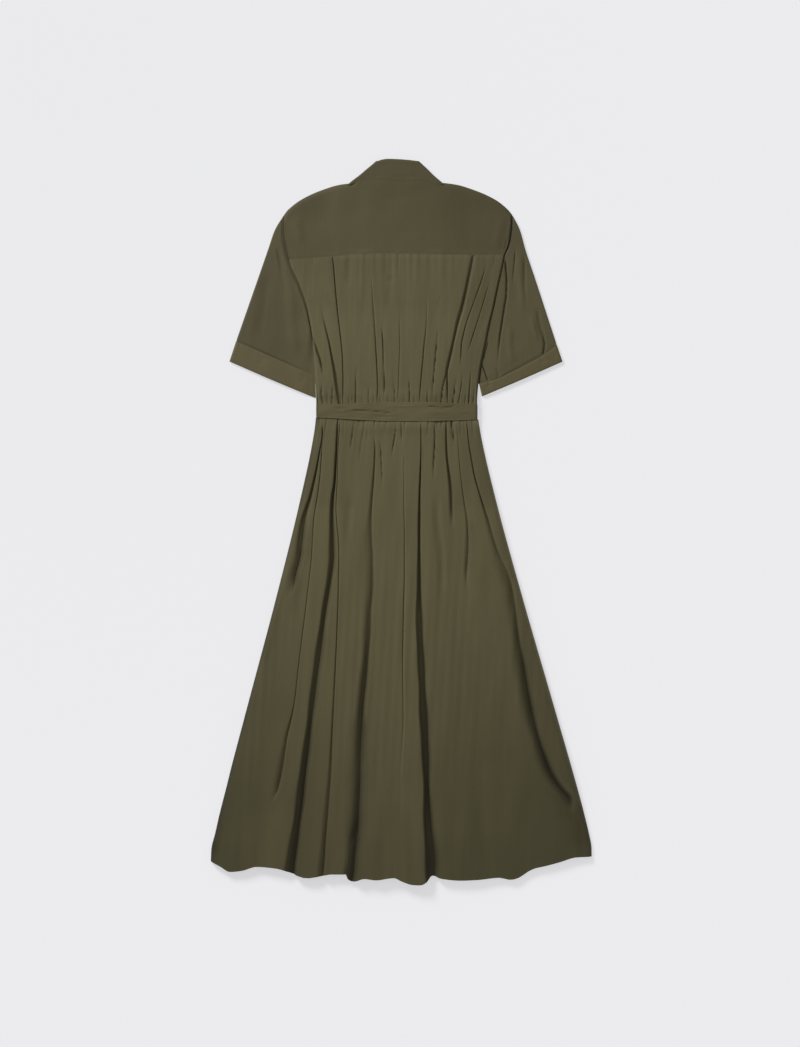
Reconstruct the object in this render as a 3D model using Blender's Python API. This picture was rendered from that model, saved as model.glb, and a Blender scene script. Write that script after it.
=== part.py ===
"""A long shirt dress with short sleeves and its own belt, laid flat with its back up.

It lies face down on z = 0, with the collar towards +Y and the hem towards -Y.
Every size below is in millimetres: x across, y along, z up.
Each piece is a wall of cloth.  The front lies on the surface, the back lies on the front,
and the folds of the back stand up as ridges between narrow valleys.
"""
import bisect
import math
from collections import namedtuple

import bmesh
import bpy

MM = 0.001                # the tables are in millimetres, the meshes in metres

# Driving dimensions
CLOTH = 1.0               # one ply of cloth
CUFF_PLY = 1.6            # a cuff is sewn double
BELT_PLY = 1.2
GAP = 0.3                 # between pieces that are sewn together
LIE_GAP = 0.5             # between the front and the back that lies on it
MIDDLE_X = -6.8           # the dress's own middle line

WAIST_Y = 187.0
BELT_HALF = 19.0          # half the height that the belt covers, with some room
BELT_RAMP = 24.0          # the cloth comes down from the belt over this distance
BELT_TAIL = 50.0          # the belt's ends lie double within this distance of the middle
BELT_END = 25.0           # each end lies this far beyond the middle
BELT_END_STEP = 6.0       # the upper end comes down onto the lower one within this distance
BELT_RISE_RAMP = 50.0     # the belt rises over its own doubled ends over this distance
TAIL_RAMP = 22.0
WAIST_INSET = 3.7         # the gathered waist lies inside the belt

PLACKET_HALF = 15.0
PLACKET_PLY = 3.0         # four plies and the buttons' room
PLACKET_TOP_Y = 553.0
PLACKET_LIFT = PLACKET_PLY - CLOTH + 0.1    # the back lies this much higher over the placket
BELT_LIFT = 0.4           # and this much higher at the belt

BUTTON_RADIUS = 5.0
BUTTON_HEIGHT = 2.0
BUTTON_SIDES = 12
BODICE_BUTTONS = (540.0, 85.0, 4)           # first y, pitch, how many
SKIRT_BUTTONS = (115.0, 90.0, 6)

COLLAR_HEIGHT = 9.0       # of the flattened collar, from the surface to its top
COLLAR_LIP = 8.0          # how far the fall turns down inside, to where the stand meets it
STAND_INSET = 2.3         # the stand lies this far inside the fall's outer side
COLLAR_OPENING = 0.03     # half the gap between the collar's front ends, as a share of its width
COLLAR_NEAR = 88.0        # the cloth lies over the collar's points within this of the middle
COLLAR_RAMP = 40.0
COLLAR_POINTS_Y = 508.0   # and above this height
COLLAR_POINTS_RAMP = 22.0

GATHER_UNDER_BELT = 1.8   # the gathers' height where the belt presses them
GATHER_RAMP = 14.0        # they rise to their full height over this distance
SIDE_ROUND = 18.0         # the back rises from the side seams over this distance
NECK_FLAT_HALF = 58.0     # the yoke keeps its full height up to the neck within this of the middle
NECK_FLAT_RAMP = 16.0
SEAM_SHIFT = 0.4          # a sleeve lies this far from its armhole
CLOTH_ROUGHNESS = 0.8
BUTTON_ROUGHNESS = 0.4

OLIVE = (88, 83, 60)
OLIVE_DARK = (74, 68, 48)
BUTTON_BROWN = (58, 52, 38)

# Side edges of the body: y, left x, right x
BODICE_EDGES = (
    (452.0, -191.0, 176.2),
    (430.0, -185.0, 171.8),
    (400.0, -172.0, 165.0),
    (365.0, -160.0, 157.5),
    (335.0, -154.0, 150.2),
    (307.0, -150.0, 144.5),
    (250.0, -146.5, 133.5),
    (202.0, -143.7, 127.5),
    (187.0, -143.7, 127.3),
)
SKIRT_EDGES = (
    (187.0, -143.7, 127.3),
    (172.0, -144.5, 129.2),
    (138.0, -149.8, 134.5),
    (37.0, -170.0, 159.6),
    (-134.0, -212.5, 205.7),
    (-304.0, -258.4, 255.0),
    (-474.0, -302.6, 302.6),
    (-558.0, -322.2, 323.0),
    (-600.0, -323.5, 323.5),
)

# Curves across the dress: x, y
YOKE_SEAM = ((-191.0, 443.7), (-114.0, 449.0), (-59.0, 454.0), (0.0, 454.0), (119.0, 451.5), (176.2, 452.0))
SHOULDER = (
    (-198.5, 521.5), (-192.0, 529.6), (-170.0, 546.6), (-137.7, 561.9), (-105.0, 571.8), (-86.0, 574.4),
    (-79.0, 575.6), (-45.0, 586.0), (-6.8, 590.0), (31.0, 586.0), (65.0, 576.0), (73.0, 575.0),
    (95.0, 572.0), (127.5, 561.9), (159.8, 546.6), (180.2, 529.6), (187.5, 520.5),
)
FRONT_NECK = ((-83.0, 574.4), (-60.0, 566.0), (-22.0, 556.0), (8.0, 556.0), (48.0, 566.0), (71.0, 574.6))
HEM = (
    (-323.5, -577.0), (-308.0, -585.0), (-290.0, -594.5), (-272.0, -593.0), (-245.0, -586.0),
    (-212.0, -588.5), (-190.0, -595.0), (-160.0, -605.0), (-138.0, -602.0), (-118.0, -598.5),
    (-94.0, -598.5), (-90.0, -607.0), (-82.0, -611.0), (-62.0, -606.0), (-42.0, -608.0),
    (-12.0, -604.5), (2.0, -610.5), (20.0, -616.0), (33.0, -616.5), (43.0, -612.0), (53.0, -601.0),
    (69.0, -606.0), (100.0, -609.0), (130.0, -608.0), (167.0, -604.5), (186.0, -608.0),
    (201.0, -604.5), (212.0, -596.5), (227.0, -589.0), (246.0, -584.5), (270.0, -578.0),
    (298.0, -570.0), (323.5, -569.0),
)
HEM_NOMINAL = -600.0
HEM_EASE = 200.0          # the rows bend towards the hem's own line over this distance
FRONT_HEM_MIDDLE = -594.0
FRONT_HEM_RISE = 30.0     # the front hem is an arc that rises this much to the sides
BELT_EDGES = ((-144.0, 176.3, 199.5), (-20.0, 171.2, 203.0), (127.5, 173.0, 199.2))  # x, low y, high y

# The yoke's part of each armhole, from the shoulder down; the bodice's edges carry it on
YOKE_LEFT_SIDE = ((-198.5, 521.5), (-199.8, 493.0), (-196.5, 467.0), (-191.0, 443.7))
YOKE_RIGHT_SIDE = ((187.5, 520.5), (187.3, 497.0), (183.3, 470.0), (176.2, 452.0))
SLEEVE_OUTER_LEFT = ((-198.9, 521.0), (-214.2, 495.6), (-226.1, 461.6), (-243.1, 410.6), (-278.8, 306.9))
SLEEVE_OUTER_RIGHT = ((188.0, 520.0), (198.9, 495.6), (210.0, 461.6), (227.0, 410.6), (262.8, 300.5))
SLEEVE_INNER_LEFT = ((-151.2, 306.0), (-149.6, 278.0), (-148.0, 249.6))
SLEEVE_INNER_RIGHT = ((145.7, 306.0), (138.6, 270.0), (132.6, 234.5))
CUFF_SEAM_LEFT = ((-148.0, 249.6), (-213.0, 277.5), (-278.8, 306.9))
CUFF_SEAM_RIGHT = ((132.6, 234.5), (163.2, 242.8), (187.0, 254.2), (243.0, 284.8), (262.8, 300.5))
CUFF_END_LEFT = ((-145.8, 211.8), (-218.0, 242.0), (-290.7, 273.7))
CUFF_END_RIGHT = ((137.0, 214.4), (205.0, 243.6), (272.9, 273.7))

# How the two plies of a flattened tube meet at its edge: distance in from the edge, then the heights
# of the upper and the lower side, then the same for the hollow inside
Rim = namedtuple("Rim", "distance upper lower inner_distance inner_upper inner_lower")
SLEEVE_RIM = (
    Rim(0.0, 1.7, 1.2, 1.1, 1.6, 1.4),
    Rim(1.0, 2.8, 0.25, 1.9, 1.9, 1.15),
    Rim(4.0, 3.5, 0.0, 4.2, 2.5, 1.0),
)
CUFF_RIM = (
    Rim(0.0, 2.8, 2.0, 1.7, 2.6, 2.2),
    Rim(1.2, 4.2, 0.4, 2.6, 3.0, 1.8),
    Rim(4.0, 5.0, 0.0, 4.4, 3.5, 1.6),
)
SLEEVE_CROWN = 2.4        # the upper ply rises this much more towards the sleeve's middle
CUFF_CROWN = 1.0
YOKE_CROWN = 0.8
TUBE_COLUMNS = 8
PROBE = 0.01              # share of a tube's width over which its width is measured
SLEEVE_STATIONS = (0.0, 0.1, 0.3, 0.5, 0.75, 1.0)    # shares of the way to the cuff
CUFF_STATIONS = (0.01, 0.5, 1.0)

# The collar: its sides narrow to the top (y, left x, right x); its edges run across (share, y)
COLLAR_SIDES = (
    (575.0, -86.2, 69.0), (577.2, -85.0, 68.0), (587.4, -71.4, 56.1), (597.6, -59.5, 45.9),
    (612.9, -42.5, 30.6), (616.0, -41.0, 29.0),
)
COLLAR_TOP = ((0.0, 611.8), (0.12, 614.3), (0.28, 615.5), (0.6, 614.8), (1.0, 612.6))
FALL_BACK = ((0.0, 575.6), (0.2, 580.5), (0.5, 583.0), (0.8, 581.0), (1.0, 577.2))
FALL_FRONT = ((0.0, 575.6), (0.1, 567.0), (0.28, 540.0), (0.47, 566.0), (0.53, 566.0), (0.72, 540.0),
              (0.9, 567.0), (1.0, 577.2))
NECK_NOMINAL_Y = 580.0
NECK_STEPS = 8            # of the search for where the stand meets the neck's seam
STAND_GAP = 0.8
# How the fall turns over at its top into the lip: each side's drop below the top, and its inset
Turn = namedtuple("Turn", "drop inset inner_drop inner_inset")
FALL_TURN = (
    Turn(6.0, 0.0, 6.0, 1.0),
    Turn(1.6, 0.1, 2.0, 1.05),
    Turn(0.4, 0.7, 1.35, 1.3),
    Turn(0.0, 1.65, 1.1, 1.65),
    Turn(0.4, 2.6, 1.35, 2.0),
    Turn(1.6, 3.2, 2.0, 2.25),
    Turn(COLLAR_LIP, STAND_INSET + CLOTH, COLLAR_LIP, STAND_INSET),
)
BELT_ROUND = 3.95         # radius at which the belt turns at the dress's sides
BELT_COLUMNS = 14

# Folds.  Each row is one valley, from left to right: where it starts and ends (y), how far its sides
# reach, how many columns it has, the plain columns and the height (at the upper, middle and lower
# station) of the ridge on its right, and its place at each station as a share of the panel's width.
Fold = namedtuple("Fold", "name top bottom run columns plain ridges shares")
Panel = namedtuple("Panel", "name folds stations rows edges real_y")
BODICE_STATIONS = (450.0, 350.0, 300.0, 250.0, 202.0)
BODICE_FOLDS = (
    Fold("underarm", 312, 150, 6, 3, 0, (2.0, 2.6, 2.6), (0.020, 0.020, 0.020, 0.045, 0.035)),
    Fold("left_short", 228, 150, 4, 3, 0, (2.0, 2.6, 3.0), (0.050, 0.055, 0.070, 0.088, 0.095)),
    Fold("left_deep", 331, 150, 7, 5, 1, (2.4, 3.6, 3.6), (0.070, 0.085, 0.096, 0.120, 0.131)),
    Fold("left_long", 449, 150, 6, 5, 0, (2.6, 3.0, 3.4), (0.210, 0.163, 0.166, 0.170, 0.169)),
    Fold("left_waist_1", 255, 150, 4, 3, 0, (2.4, 2.6, 3.2), (0.270, 0.245, 0.245, 0.247, 0.248)),
    Fold("left_waist_2", 255, 150, 4, 3, 0, (2.4, 2.6, 3.2), (0.340, 0.320, 0.325, 0.329, 0.334)),
    Fold("mid_left", 415, 150, 6, 5, 0, (2.4, 3.0, 3.2), (0.375, 0.363, 0.369, 0.377, 0.385)),
    Fold("mid_left_2", 325, 150, 5, 3, 0, (2.4, 2.8, 3.2), (0.405, 0.402, 0.409, 0.420, 0.428)),
    Fold("middle", 395, 150, 6, 5, 1, (2.4, 2.8, 3.2), (0.498, 0.495, 0.499, 0.509, 0.517)),
    Fold("mid_right", 245, 150, 4, 3, 0, (2.4, 2.6, 3.2), (0.570, 0.575, 0.578, 0.580, 0.584)),
    Fold("right_1", 367, 150, 6, 5, 0, (2.4, 3.0, 3.2), (0.645, 0.645, 0.645, 0.646, 0.650)),
    Fold("right_2", 347, 225, 5, 3, 1, (2.4, 3.0, 3.4), (0.705, 0.708, 0.713, 0.720, 0.730)),
    Fold("right_deep", 452, 150, 7, 5, 0, (3.6, 3.6, 3.6), (0.850, 0.823, 0.807, 0.796, 0.784)),
    Fold("right_short", 245, 150, 4, 3, 0, (3.0, 3.0, 3.0), (0.870, 0.845, 0.832, 0.822, 0.816)),
    Fold("right_3", 437, 150, 5, 5, 0, (3.0, 3.0, 3.0), (0.908, 0.868, 0.858, 0.862, 0.864)),
    Fold("right_4", 402, 150, 5, 5, 0, (2.4, 2.6, 2.8), (0.955, 0.926, 0.910, 0.905, 0.906)),
    Fold("right_waist", 240, 150, 4, 3, 0, (2.0, 2.0, 2.4), (0.980, 0.975, 0.966, 0.962, 0.958)),
)
SKIRT_STATIONS = (172.0, 42.0, -58.0, -308.0, -600.0)
SKIRT_FOLDS = (
    Fold("left_edge", 200, -100, 10, 5, 1, (4.0, 4.0, 3.0), (0.045, 0.040, 0.043, 0.060, 0.060)),
    Fold("left_thin", 165, -470, 8, 5, 1, (6.0, 9.0, 7.0), (0.068, 0.080, 0.107, 0.150, 0.146)),
    Fold("left_strong", 200, -700, 14, 5, 1, (6.0, 8.0, 9.0), (0.132, 0.155, 0.195, 0.211, 0.214)),
    Fold("left_crisp", 200, -700, 7, 5, 0, (6.0, 9.0, 9.0), (0.158, 0.184, 0.235, 0.281, 0.299)),
    Fold("waist_1", 200, 115, 5, 3, 0, (5.0, 6.0, 9.0), (0.236, 0.262, 0.285, 0.322, 0.330)),
    Fold("waist_2", 200, 108, 5, 3, 0, (5.0, 7.0, 9.0), (0.297, 0.315, 0.335, 0.348, 0.352)),
    Fold("mid_left", 150, -700, 16, 5, 1, (6.0, 9.0, 11.0), (0.360, 0.374, 0.385, 0.374, 0.374)),
    Fold("waist_3", 200, 40, 6, 3, 1, (5.0, 7.0, 9.0), (0.402, 0.422, 0.432, 0.430, 0.430)),
    Fold("waist_4", 200, 105, 5, 3, 0, (5.0, 7.0, 9.0), (0.492, 0.478, 0.470, 0.465, 0.465)),
    Fold("waist_5", 200, 145, 4, 3, 0, (4.0, 6.0, 8.0), (0.528, 0.512, 0.503, 0.490, 0.484)),
    Fold("mid_thin", 200, -450, 6, 5, 0, (6.0, 9.0, 11.0), (0.552, 0.534, 0.526, 0.510, 0.502)),
    Fold("waist_6", 200, 145, 4, 3, 0, (6.0, 9.0, 12.0), (0.598, 0.572, 0.556, 0.545, 0.540)),
    Fold("mid_strong", 200, -700, 12, 5, 1, (6.0, 6.0, 5.0), (0.649, 0.613, 0.585, 0.573, 0.577)),
    Fold("waist_7", 200, 150, 4, 3, 1, (5.0, 6.0, 5.0), (0.701, 0.668, 0.640, 0.620, 0.620)),
    Fold("waist_8", 200, 75, 5, 3, 1, (5.0, 6.0, 5.0), (0.735, 0.712, 0.690, 0.670, 0.665)),
    Fold("right_strong", 200, 15, 8, 5, 0, (5.0, 6.0, 5.0), (0.810, 0.776, 0.757, 0.730, 0.720)),
    Fold("waist_9", 200, 145, 4, 3, 0, (5.0, 6.0, 5.0), (0.843, 0.812, 0.788, 0.765, 0.755)),
    Fold("right_long", 200, -120, 9, 5, 1, (5.0, 6.0, 5.0), (0.878, 0.846, 0.816, 0.800, 0.790)),
    Fold("waist_10", 200, 150, 4, 3, 2, (5.0, 7.0, 5.0), (0.905, 0.885, 0.868, 0.855, 0.850)),
    Fold("right_edge", 200, -500, 12, 5, 0, (4.0, 6.0, 4.0), (0.940, 0.933, 0.942, 0.932, 0.965)),
)
FOLD_FADE = 40.0          # a valley opens and closes over this distance
CREST_SHARE = 0.62        # how high a fold's side is half way up its run
MOST_REACH = 0.44         # a fold's side reaches at most this share of the way to the next valley
EDGE_RIDGE = 0.7          # the ridge at the left edge, as a share of the next one
RIDGE_SLENDER = 0.6       # a ridge between two close valleys is at most this much of its width
UNDER_ROOM = 0.3          # a wall's lower side moves aside by at most this much of a column's width
UNDER_LEAST = 0.6         # and down by at least this much of the cloth
RIDGE_BULGE = 0.12        # a ridge's plain stretch rises this much more, as a share of its height
EDGE_COLUMNS = 2
SEAM_ROW = BODICE_EDGES[0][0]
BODICE_ROWS = (430.0, 400.0, 365.0, 335.0, 307.0, 262.0, 230.0, 206.0)
SKIRT_ROWS = (168.0, 156.0, 135.0, 100.0, 45.0, -25.0, -105.0, -195.0, -295.0, -400.0, -500.0, HEM_NOMINAL)
FRONT_SKIRT_ROWS = (168.0, 156.0, 144.0, 100.0, 0.0, -150.0, -300.0, -450.0, HEM_NOMINAL)
FRONT_YOKE_ROWS = (460.0, 490.0, 524.0)
PLACKET_ROWS = (400.0, 230.0, 206.0, 168.0, 156.0, 144.0, 0.0, -300.0)
FRONT_COLUMNS = 7
YOKE_COLUMNS = 26


# --- numbers and curves ---------------------------------------------------------------------------

def mix(a, b, share):
    return a + (b - a) * share


def ease(value):
    """0 below 0, 1 above 1, and a smooth step between."""
    value = min(1.0, max(0.0, value))
    return value * value * (3.0 - 2.0 * value)


def plateau(value, centre, half, ramp):
    """1 within half of centre, falling to 0 over the ramp beyond it."""
    return ease((half + ramp - abs(value - centre)) / ramp)


def smooth_curve(knots):
    """A cubic through (x, y) knots sorted by x, without overshoot between them."""
    xs = [knot[0] for knot in knots]
    ys = [knot[1] for knot in knots]
    steps = [(ys[i + 1] - ys[i]) / (xs[i + 1] - xs[i]) for i in range(len(xs) - 1)]
    slopes = [steps[0]]
    for before, after in zip(steps, steps[1:]):
        slopes.append(0.0 if before * after <= 0 else 2.0 * before * after / (before + after))
    slopes.append(steps[-1])

    def at(x):
        x = min(xs[-1], max(xs[0], x))
        i = min(len(xs) - 2, max(0, bisect.bisect_right(xs, x) - 1))
        width = xs[i + 1] - xs[i]
        t = (x - xs[i]) / width
        rise = ease(t)
        return (mix(ys[i], ys[i + 1], rise)
                + width * t * (1 - t) * ((1 - t) * slopes[i] - t * slopes[i + 1]))
    return at


def by_height(rows, column):
    """A smooth curve of one column against the first one, which falls from row to row."""
    return smooth_curve(sorted((row[0], row[column]) for row in rows))


def polyline_at(points, share):
    """A point on a polyline whose corners lie at equal steps of share, from 0 to 1."""
    place = share * (len(points) - 1)
    i = min(len(points) - 2, int(place))
    t = place - i
    return tuple(mix(a, b, t) for a, b in zip(points[i], points[i + 1]))


def patch(low, high, left, right, across, along):
    """A point of the plan between four edges; across and along run from 0 to 1."""
    point = []
    for axis in (0, 1):
        edges = (mix(low(across)[axis], high(across)[axis], along)
                 + mix(left(along)[axis], right(along)[axis], across))
        corners = mix(mix(low(0.0)[axis], low(1.0)[axis], across),
                      mix(high(0.0)[axis], high(1.0)[axis], across), along)
        point.append(edges - corners)
    return tuple(point)


hem_y = smooth_curve(HEM)
shoulder_y = smooth_curve(SHOULDER)
yoke_seam_y = smooth_curve(YOKE_SEAM)
front_neck_y = smooth_curve(FRONT_NECK)
belt_low_y = smooth_curve([(x, low) for x, low, high in BELT_EDGES])
belt_high_y = smooth_curve([(x, high) for x, low, high in BELT_EDGES])
collar_left_x = smooth_curve([(y, left) for y, left, right in COLLAR_SIDES])
collar_right_x = smooth_curve([(y, right) for y, left, right in COLLAR_SIDES])
collar_top_y = smooth_curve(COLLAR_TOP)
fall_back_y = smooth_curve(FALL_BACK)
fall_front_y = smooth_curve(FALL_FRONT)


def edges_of(rows):
    """The left and right edge of the body at a height, drawn in where the belt holds it."""
    left = by_height(rows, 1)
    right = by_height(rows, 2)

    def at(y):
        inset = WAIST_INSET * plateau(y, WAIST_Y, BELT_HALF, GATHER_RAMP)
        return left(y) + inset, right(y) - inset
    return at


bodice_edges = edges_of(BODICE_EDGES)
skirt_edges = edges_of(SKIRT_EDGES)


# --- how high each layer lies ---------------------------------------------------------------------

def at_belt(y):
    return plateau(y, WAIST_Y, BELT_HALF, BELT_RAMP)


def front_under(x, y):
    """Underside of the front: on the surface, but over the belt and over the collar's points."""
    over_belt = at_belt(y) * (BELT_PLY + GAP) * (1.0 + plateau(x, MIDDLE_X, BELT_TAIL, TAIL_RAMP))
    near_neck = plateau(x, MIDDLE_X, COLLAR_NEAR, COLLAR_RAMP)
    return over_belt + STAND_INSET * near_neck * ease((y - COLLAR_POINTS_Y) / COLLAR_POINTS_RAMP)


def back_top(x, y, rise, height):
    """Top of the back where it lies on the front; rise is 0 at a side seam and 1 away from it."""
    lift = mix(PLACKET_LIFT * rise, BELT_LIFT, at_belt(y))
    return front_under(x, y) + CLOTH + LIE_GAP + lift + CLOTH + height


# --- meshes ---------------------------------------------------------------------------------------

def clear_scene():
    for thing in list(bpy.data.objects):
        bpy.data.objects.remove(thing, do_unlink=True)


def finish_of(name, rgb, roughness):
    """A plain material from an sRGB colour in 0 to 255."""
    material = bpy.data.materials.new(name)
    material.use_nodes = True
    shader = material.node_tree.nodes["Principled BSDF"]
    linear = [((value / 255.0 + 0.055) / 1.055) ** 2.4 for value in rgb]
    shader.inputs["Base Color"].default_value = (*linear, 1.0)
    shader.inputs["Roughness"].default_value = roughness
    shader.inputs["Metallic"].default_value = 0.0
    return material


def place(name, mesh, rgb, roughness):
    bmesh.ops.recalc_face_normals(mesh, faces=mesh.faces)
    data = bpy.data.meshes.new(name)
    mesh.to_mesh(data)
    mesh.free()
    data.shade_smooth()
    piece = bpy.data.objects.new(name, data)
    piece.data.materials.append(finish_of(name, rgb, roughness))
    bpy.context.scene.collection.objects.link(piece)
    return piece


def wall(name, outer, inner, rgb=OLIVE, closed=False):
    """A wall of cloth between two grids of points; a closed one joins its last row to its first."""
    mesh = bmesh.new()
    skins = [[[mesh.verts.new([MM * value for value in point]) for point in row] for row in grid]
             for grid in (outer, inner)]
    rows = len(outer)
    last_column = len(outer[0]) - 1

    def quad(a, b, c, d):
        mesh.faces.new((a, b, c))
        mesh.faces.new((a, c, d))

    for i in range(rows if closed else rows - 1):
        k = (i + 1) % rows
        for skin in skins:
            for j in range(last_column):
                quad(skin[i][j], skin[i][j + 1], skin[k][j + 1], skin[k][j])
        for j in (0, last_column):
            quad(skins[0][i][j], skins[1][i][j], skins[1][k][j], skins[0][k][j])
    if not closed:
        for i in (0, rows - 1):
            for j in range(last_column):
                quad(skins[0][i][j], skins[1][i][j], skins[1][i][j + 1], skins[0][i][j + 1])
    return place(name, mesh, rgb, CLOTH_ROUGHNESS)


def under_row(row):
    """The lower side of a row of cloth: each point moved down, and aside as far as there is room."""
    below = []
    for i, (x, y, z) in enumerate(row):
        if i in (0, len(row) - 1):
            below.append((x, y, z - CLOTH))
            continue
        run = row[i + 1][0] - row[i - 1][0]
        climb = row[i + 1][2] - row[i - 1][2]
        length = math.hypot(run, climb)
        room = UNDER_ROOM * min(x - row[i - 1][0], row[i + 1][0] - x)
        aside = max(-room, min(room, CLOTH * climb / length))
        below.append((x + aside, y, z - CLOTH * max(run / length, UNDER_LEAST)))
    return below


# --- the gathered back ----------------------------------------------------------------------------

def pressed(height, y):
    """A ridge's height, pressed down where the belt holds it."""
    free = 1.0 - plateau(y, WAIST_Y, BELT_HALF, GATHER_RAMP)
    return mix(min(height, GATHER_UNDER_BELT), height, free)


def between(start, end, count):
    """Columns of a ridge's plain stretch: their number is the same in every row."""
    points = []
    for k in range(1, count + 1):
        share = k / (count + 1)
        bulge = RIDGE_BULGE * min(start[1], end[1]) * math.sin(math.pi * share)
        points.append((mix(start[0], end[0], share), mix(start[1], end[1], ease(share)) + bulge))
    return points


def fold_section(panel, y):
    """The section of a gathered panel at height y: a list of x and height above the lying level."""
    left, right = panel.edges(y)
    folds = panel.folds
    shares = [smooth_curve(sorted(zip(panel.stations, fold.shares)))(y) for fold in folds]
    valleys = [left, *(mix(left, right, share) for share in shares), right]
    upper, middle, lower = panel.stations[0], panel.stations[2], panel.stations[-1]
    ridges = [smooth_curve(sorted(zip((upper, middle, lower), fold.ridges)))(y) for fold in folds]
    ridges = [pressed(min(height, RIDGE_SLENDER * (after - before)), y)
              for height, before, after in zip((EDGE_RIDGE * ridges[0], *ridges), valleys, valleys[1:])]
    points = [(left, 0.0)]
    for i, fold in enumerate(folds):
        place = valleys[i + 1]
        reach_back = min(fold.run, MOST_REACH * (place - valleys[i]))
        reach_on = min(fold.run, MOST_REACH * (valleys[i + 2] - place))
        open_share = ease((fold.top - y) / FOLD_FADE) * ease((y - fold.bottom) / FOLD_FADE)
        floor = (1.0 - open_share) * min(ridges[i], ridges[i + 1])
        plain = folds[i - 1].plain if i else EDGE_COLUMNS
        points += between(points[-1], (place - reach_back, ridges[i]), plain)
        half = fold.columns // 2
        for step in range(-half, half + 1):
            share = abs(step) / half
            climb = share if share in (0.0, 1.0) else CREST_SHARE
            reach = reach_back if step < 0 else reach_on
            crest = ridges[i] if step < 0 else ridges[i + 1]
            points.append((place + step / half * reach, mix(floor, crest, climb)))
    points += between(points[-1], (right, 0.0), EDGE_COLUMNS)
    points.append((right, 0.0))
    return points


def gathered_panel(panel):
    """A back panel with its folds, whose last rows bend to the seam or hem that they meet."""
    upper = []
    for y in panel.rows:
        left, right = panel.edges(y)
        row = []
        for x, height in fold_section(panel, y):
            rise = ease(min(x - left, right - x) / SIDE_ROUND)
            real_y = panel.real_y(x, y)
            row.append((x, real_y, back_top(x, real_y, rise, height)))
        upper.append(row)
    wall(panel.name, upper, [under_row(row) for row in upper])


def bodice_y(x, y):
    return yoke_seam_y(x) - GAP if y == SEAM_ROW else y


def skirt_y(x, y):
    return y + (hem_y(x) - HEM_NOMINAL) * ease((HEM_NOMINAL + HEM_EASE - y) / HEM_EASE)


def make_back_panels():
    bodice_rows = (SEAM_ROW, *BODICE_ROWS, WAIST_Y + GAP)
    gathered_panel(Panel("back_bodice", BODICE_FOLDS, BODICE_STATIONS, bodice_rows, bodice_edges, bodice_y))
    skirt_rows = (WAIST_Y, *SKIRT_ROWS)
    gathered_panel(Panel("back_skirt", SKIRT_FOLDS, SKIRT_STATIONS, skirt_rows, skirt_edges, skirt_y))


def make_yoke():
    """The plain yoke, between the gathered bodice, the armholes, the shoulders and the neck."""
    def low(across):
        x = mix(YOKE_LEFT_SIDE[-1][0], YOKE_RIGHT_SIDE[-1][0], across)
        return x, yoke_seam_y(x)

    def high(across):
        x = mix(YOKE_LEFT_SIDE[0][0], YOKE_RIGHT_SIDE[0][0], across)
        return x, shoulder_y(x)

    steps = 2 * (len(YOKE_LEFT_SIDE) - 1)
    upper = []
    for i in range(steps + 1):
        along = i / steps
        row = []
        for j in range(YOKE_COLUMNS + 1):
            across = j / YOKE_COLUMNS
            x, y = patch(low, high, lambda v: polyline_at(YOKE_LEFT_SIDE[::-1], v),
                         lambda v: polyline_at(YOKE_RIGHT_SIDE[::-1], v), across, along)
            from_side = min(across, 1.0 - across) * (YOKE_RIGHT_SIDE[0][0] - YOKE_LEFT_SIDE[0][0])
            at_neck = plateau(x, MIDDLE_X, NECK_FLAT_HALF, NECK_FLAT_RAMP)
            from_shoulder = shoulder_y(x) - y + 2.0 * SIDE_ROUND * at_neck
            rise = ease(min(from_side, from_shoulder) / SIDE_ROUND)
            row.append((x, y, back_top(x, y, rise, YOKE_CROWN * rise)))
        upper.append(row)
    wall("back_yoke", upper, [under_row(row) for row in upper])


# --- sleeves and cuffs ----------------------------------------------------------------------------

def flat_tube(name, plan, stations, rim, ply, crown, rgb=OLIVE):
    """A tube pressed flat; plan(across, along) is a point from its inner to its outer edge."""
    def metre(along, end):
        """Share of the width that one millimetre takes at an edge."""
        near = plan(end, along)
        inside = plan(abs(end - PROBE), along)
        return PROBE / math.dist(near, inside)

    outer, inner = [], []
    middle = [k / TUBE_COLUMNS for k in range(1, TUBE_COLUMNS)]
    count = len(rim)
    for upper_ply in (True, False):
        columns = [("rim", k, 0.0) for k in range(count)] + [("middle", share, None) for share in middle]
        columns += [("rim", count - 1 - k, 1.0) for k in range(count)]
        for kind, value, end in columns if upper_ply else columns[::-1]:
            outer_line, inner_line = [], []
            for along in stations:
                if kind == "rim":
                    edge = rim[value]
                    sign = 1.0 if end == 0.0 else -1.0
                    unit = metre(along, end)
                    across = end + sign * edge.distance * unit
                    inner_across = end + sign * edge.inner_distance * unit
                    height = edge.upper if upper_ply else edge.lower
                    inner_height = edge.inner_upper if upper_ply else edge.inner_lower
                else:
                    across = inner_across = value
                    height = rim[-1].upper + crown * math.sin(math.pi * value) if upper_ply else 0.0
                    inner_height = height - ply if upper_ply else ply
                outer_line.append((*plan(across, along), height))
                inner_line.append((*plan(inner_across, along), inner_height))
            outer.append(outer_line)
            inner.append(inner_line)
    wall(name, outer, inner, rgb, closed=True)


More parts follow.
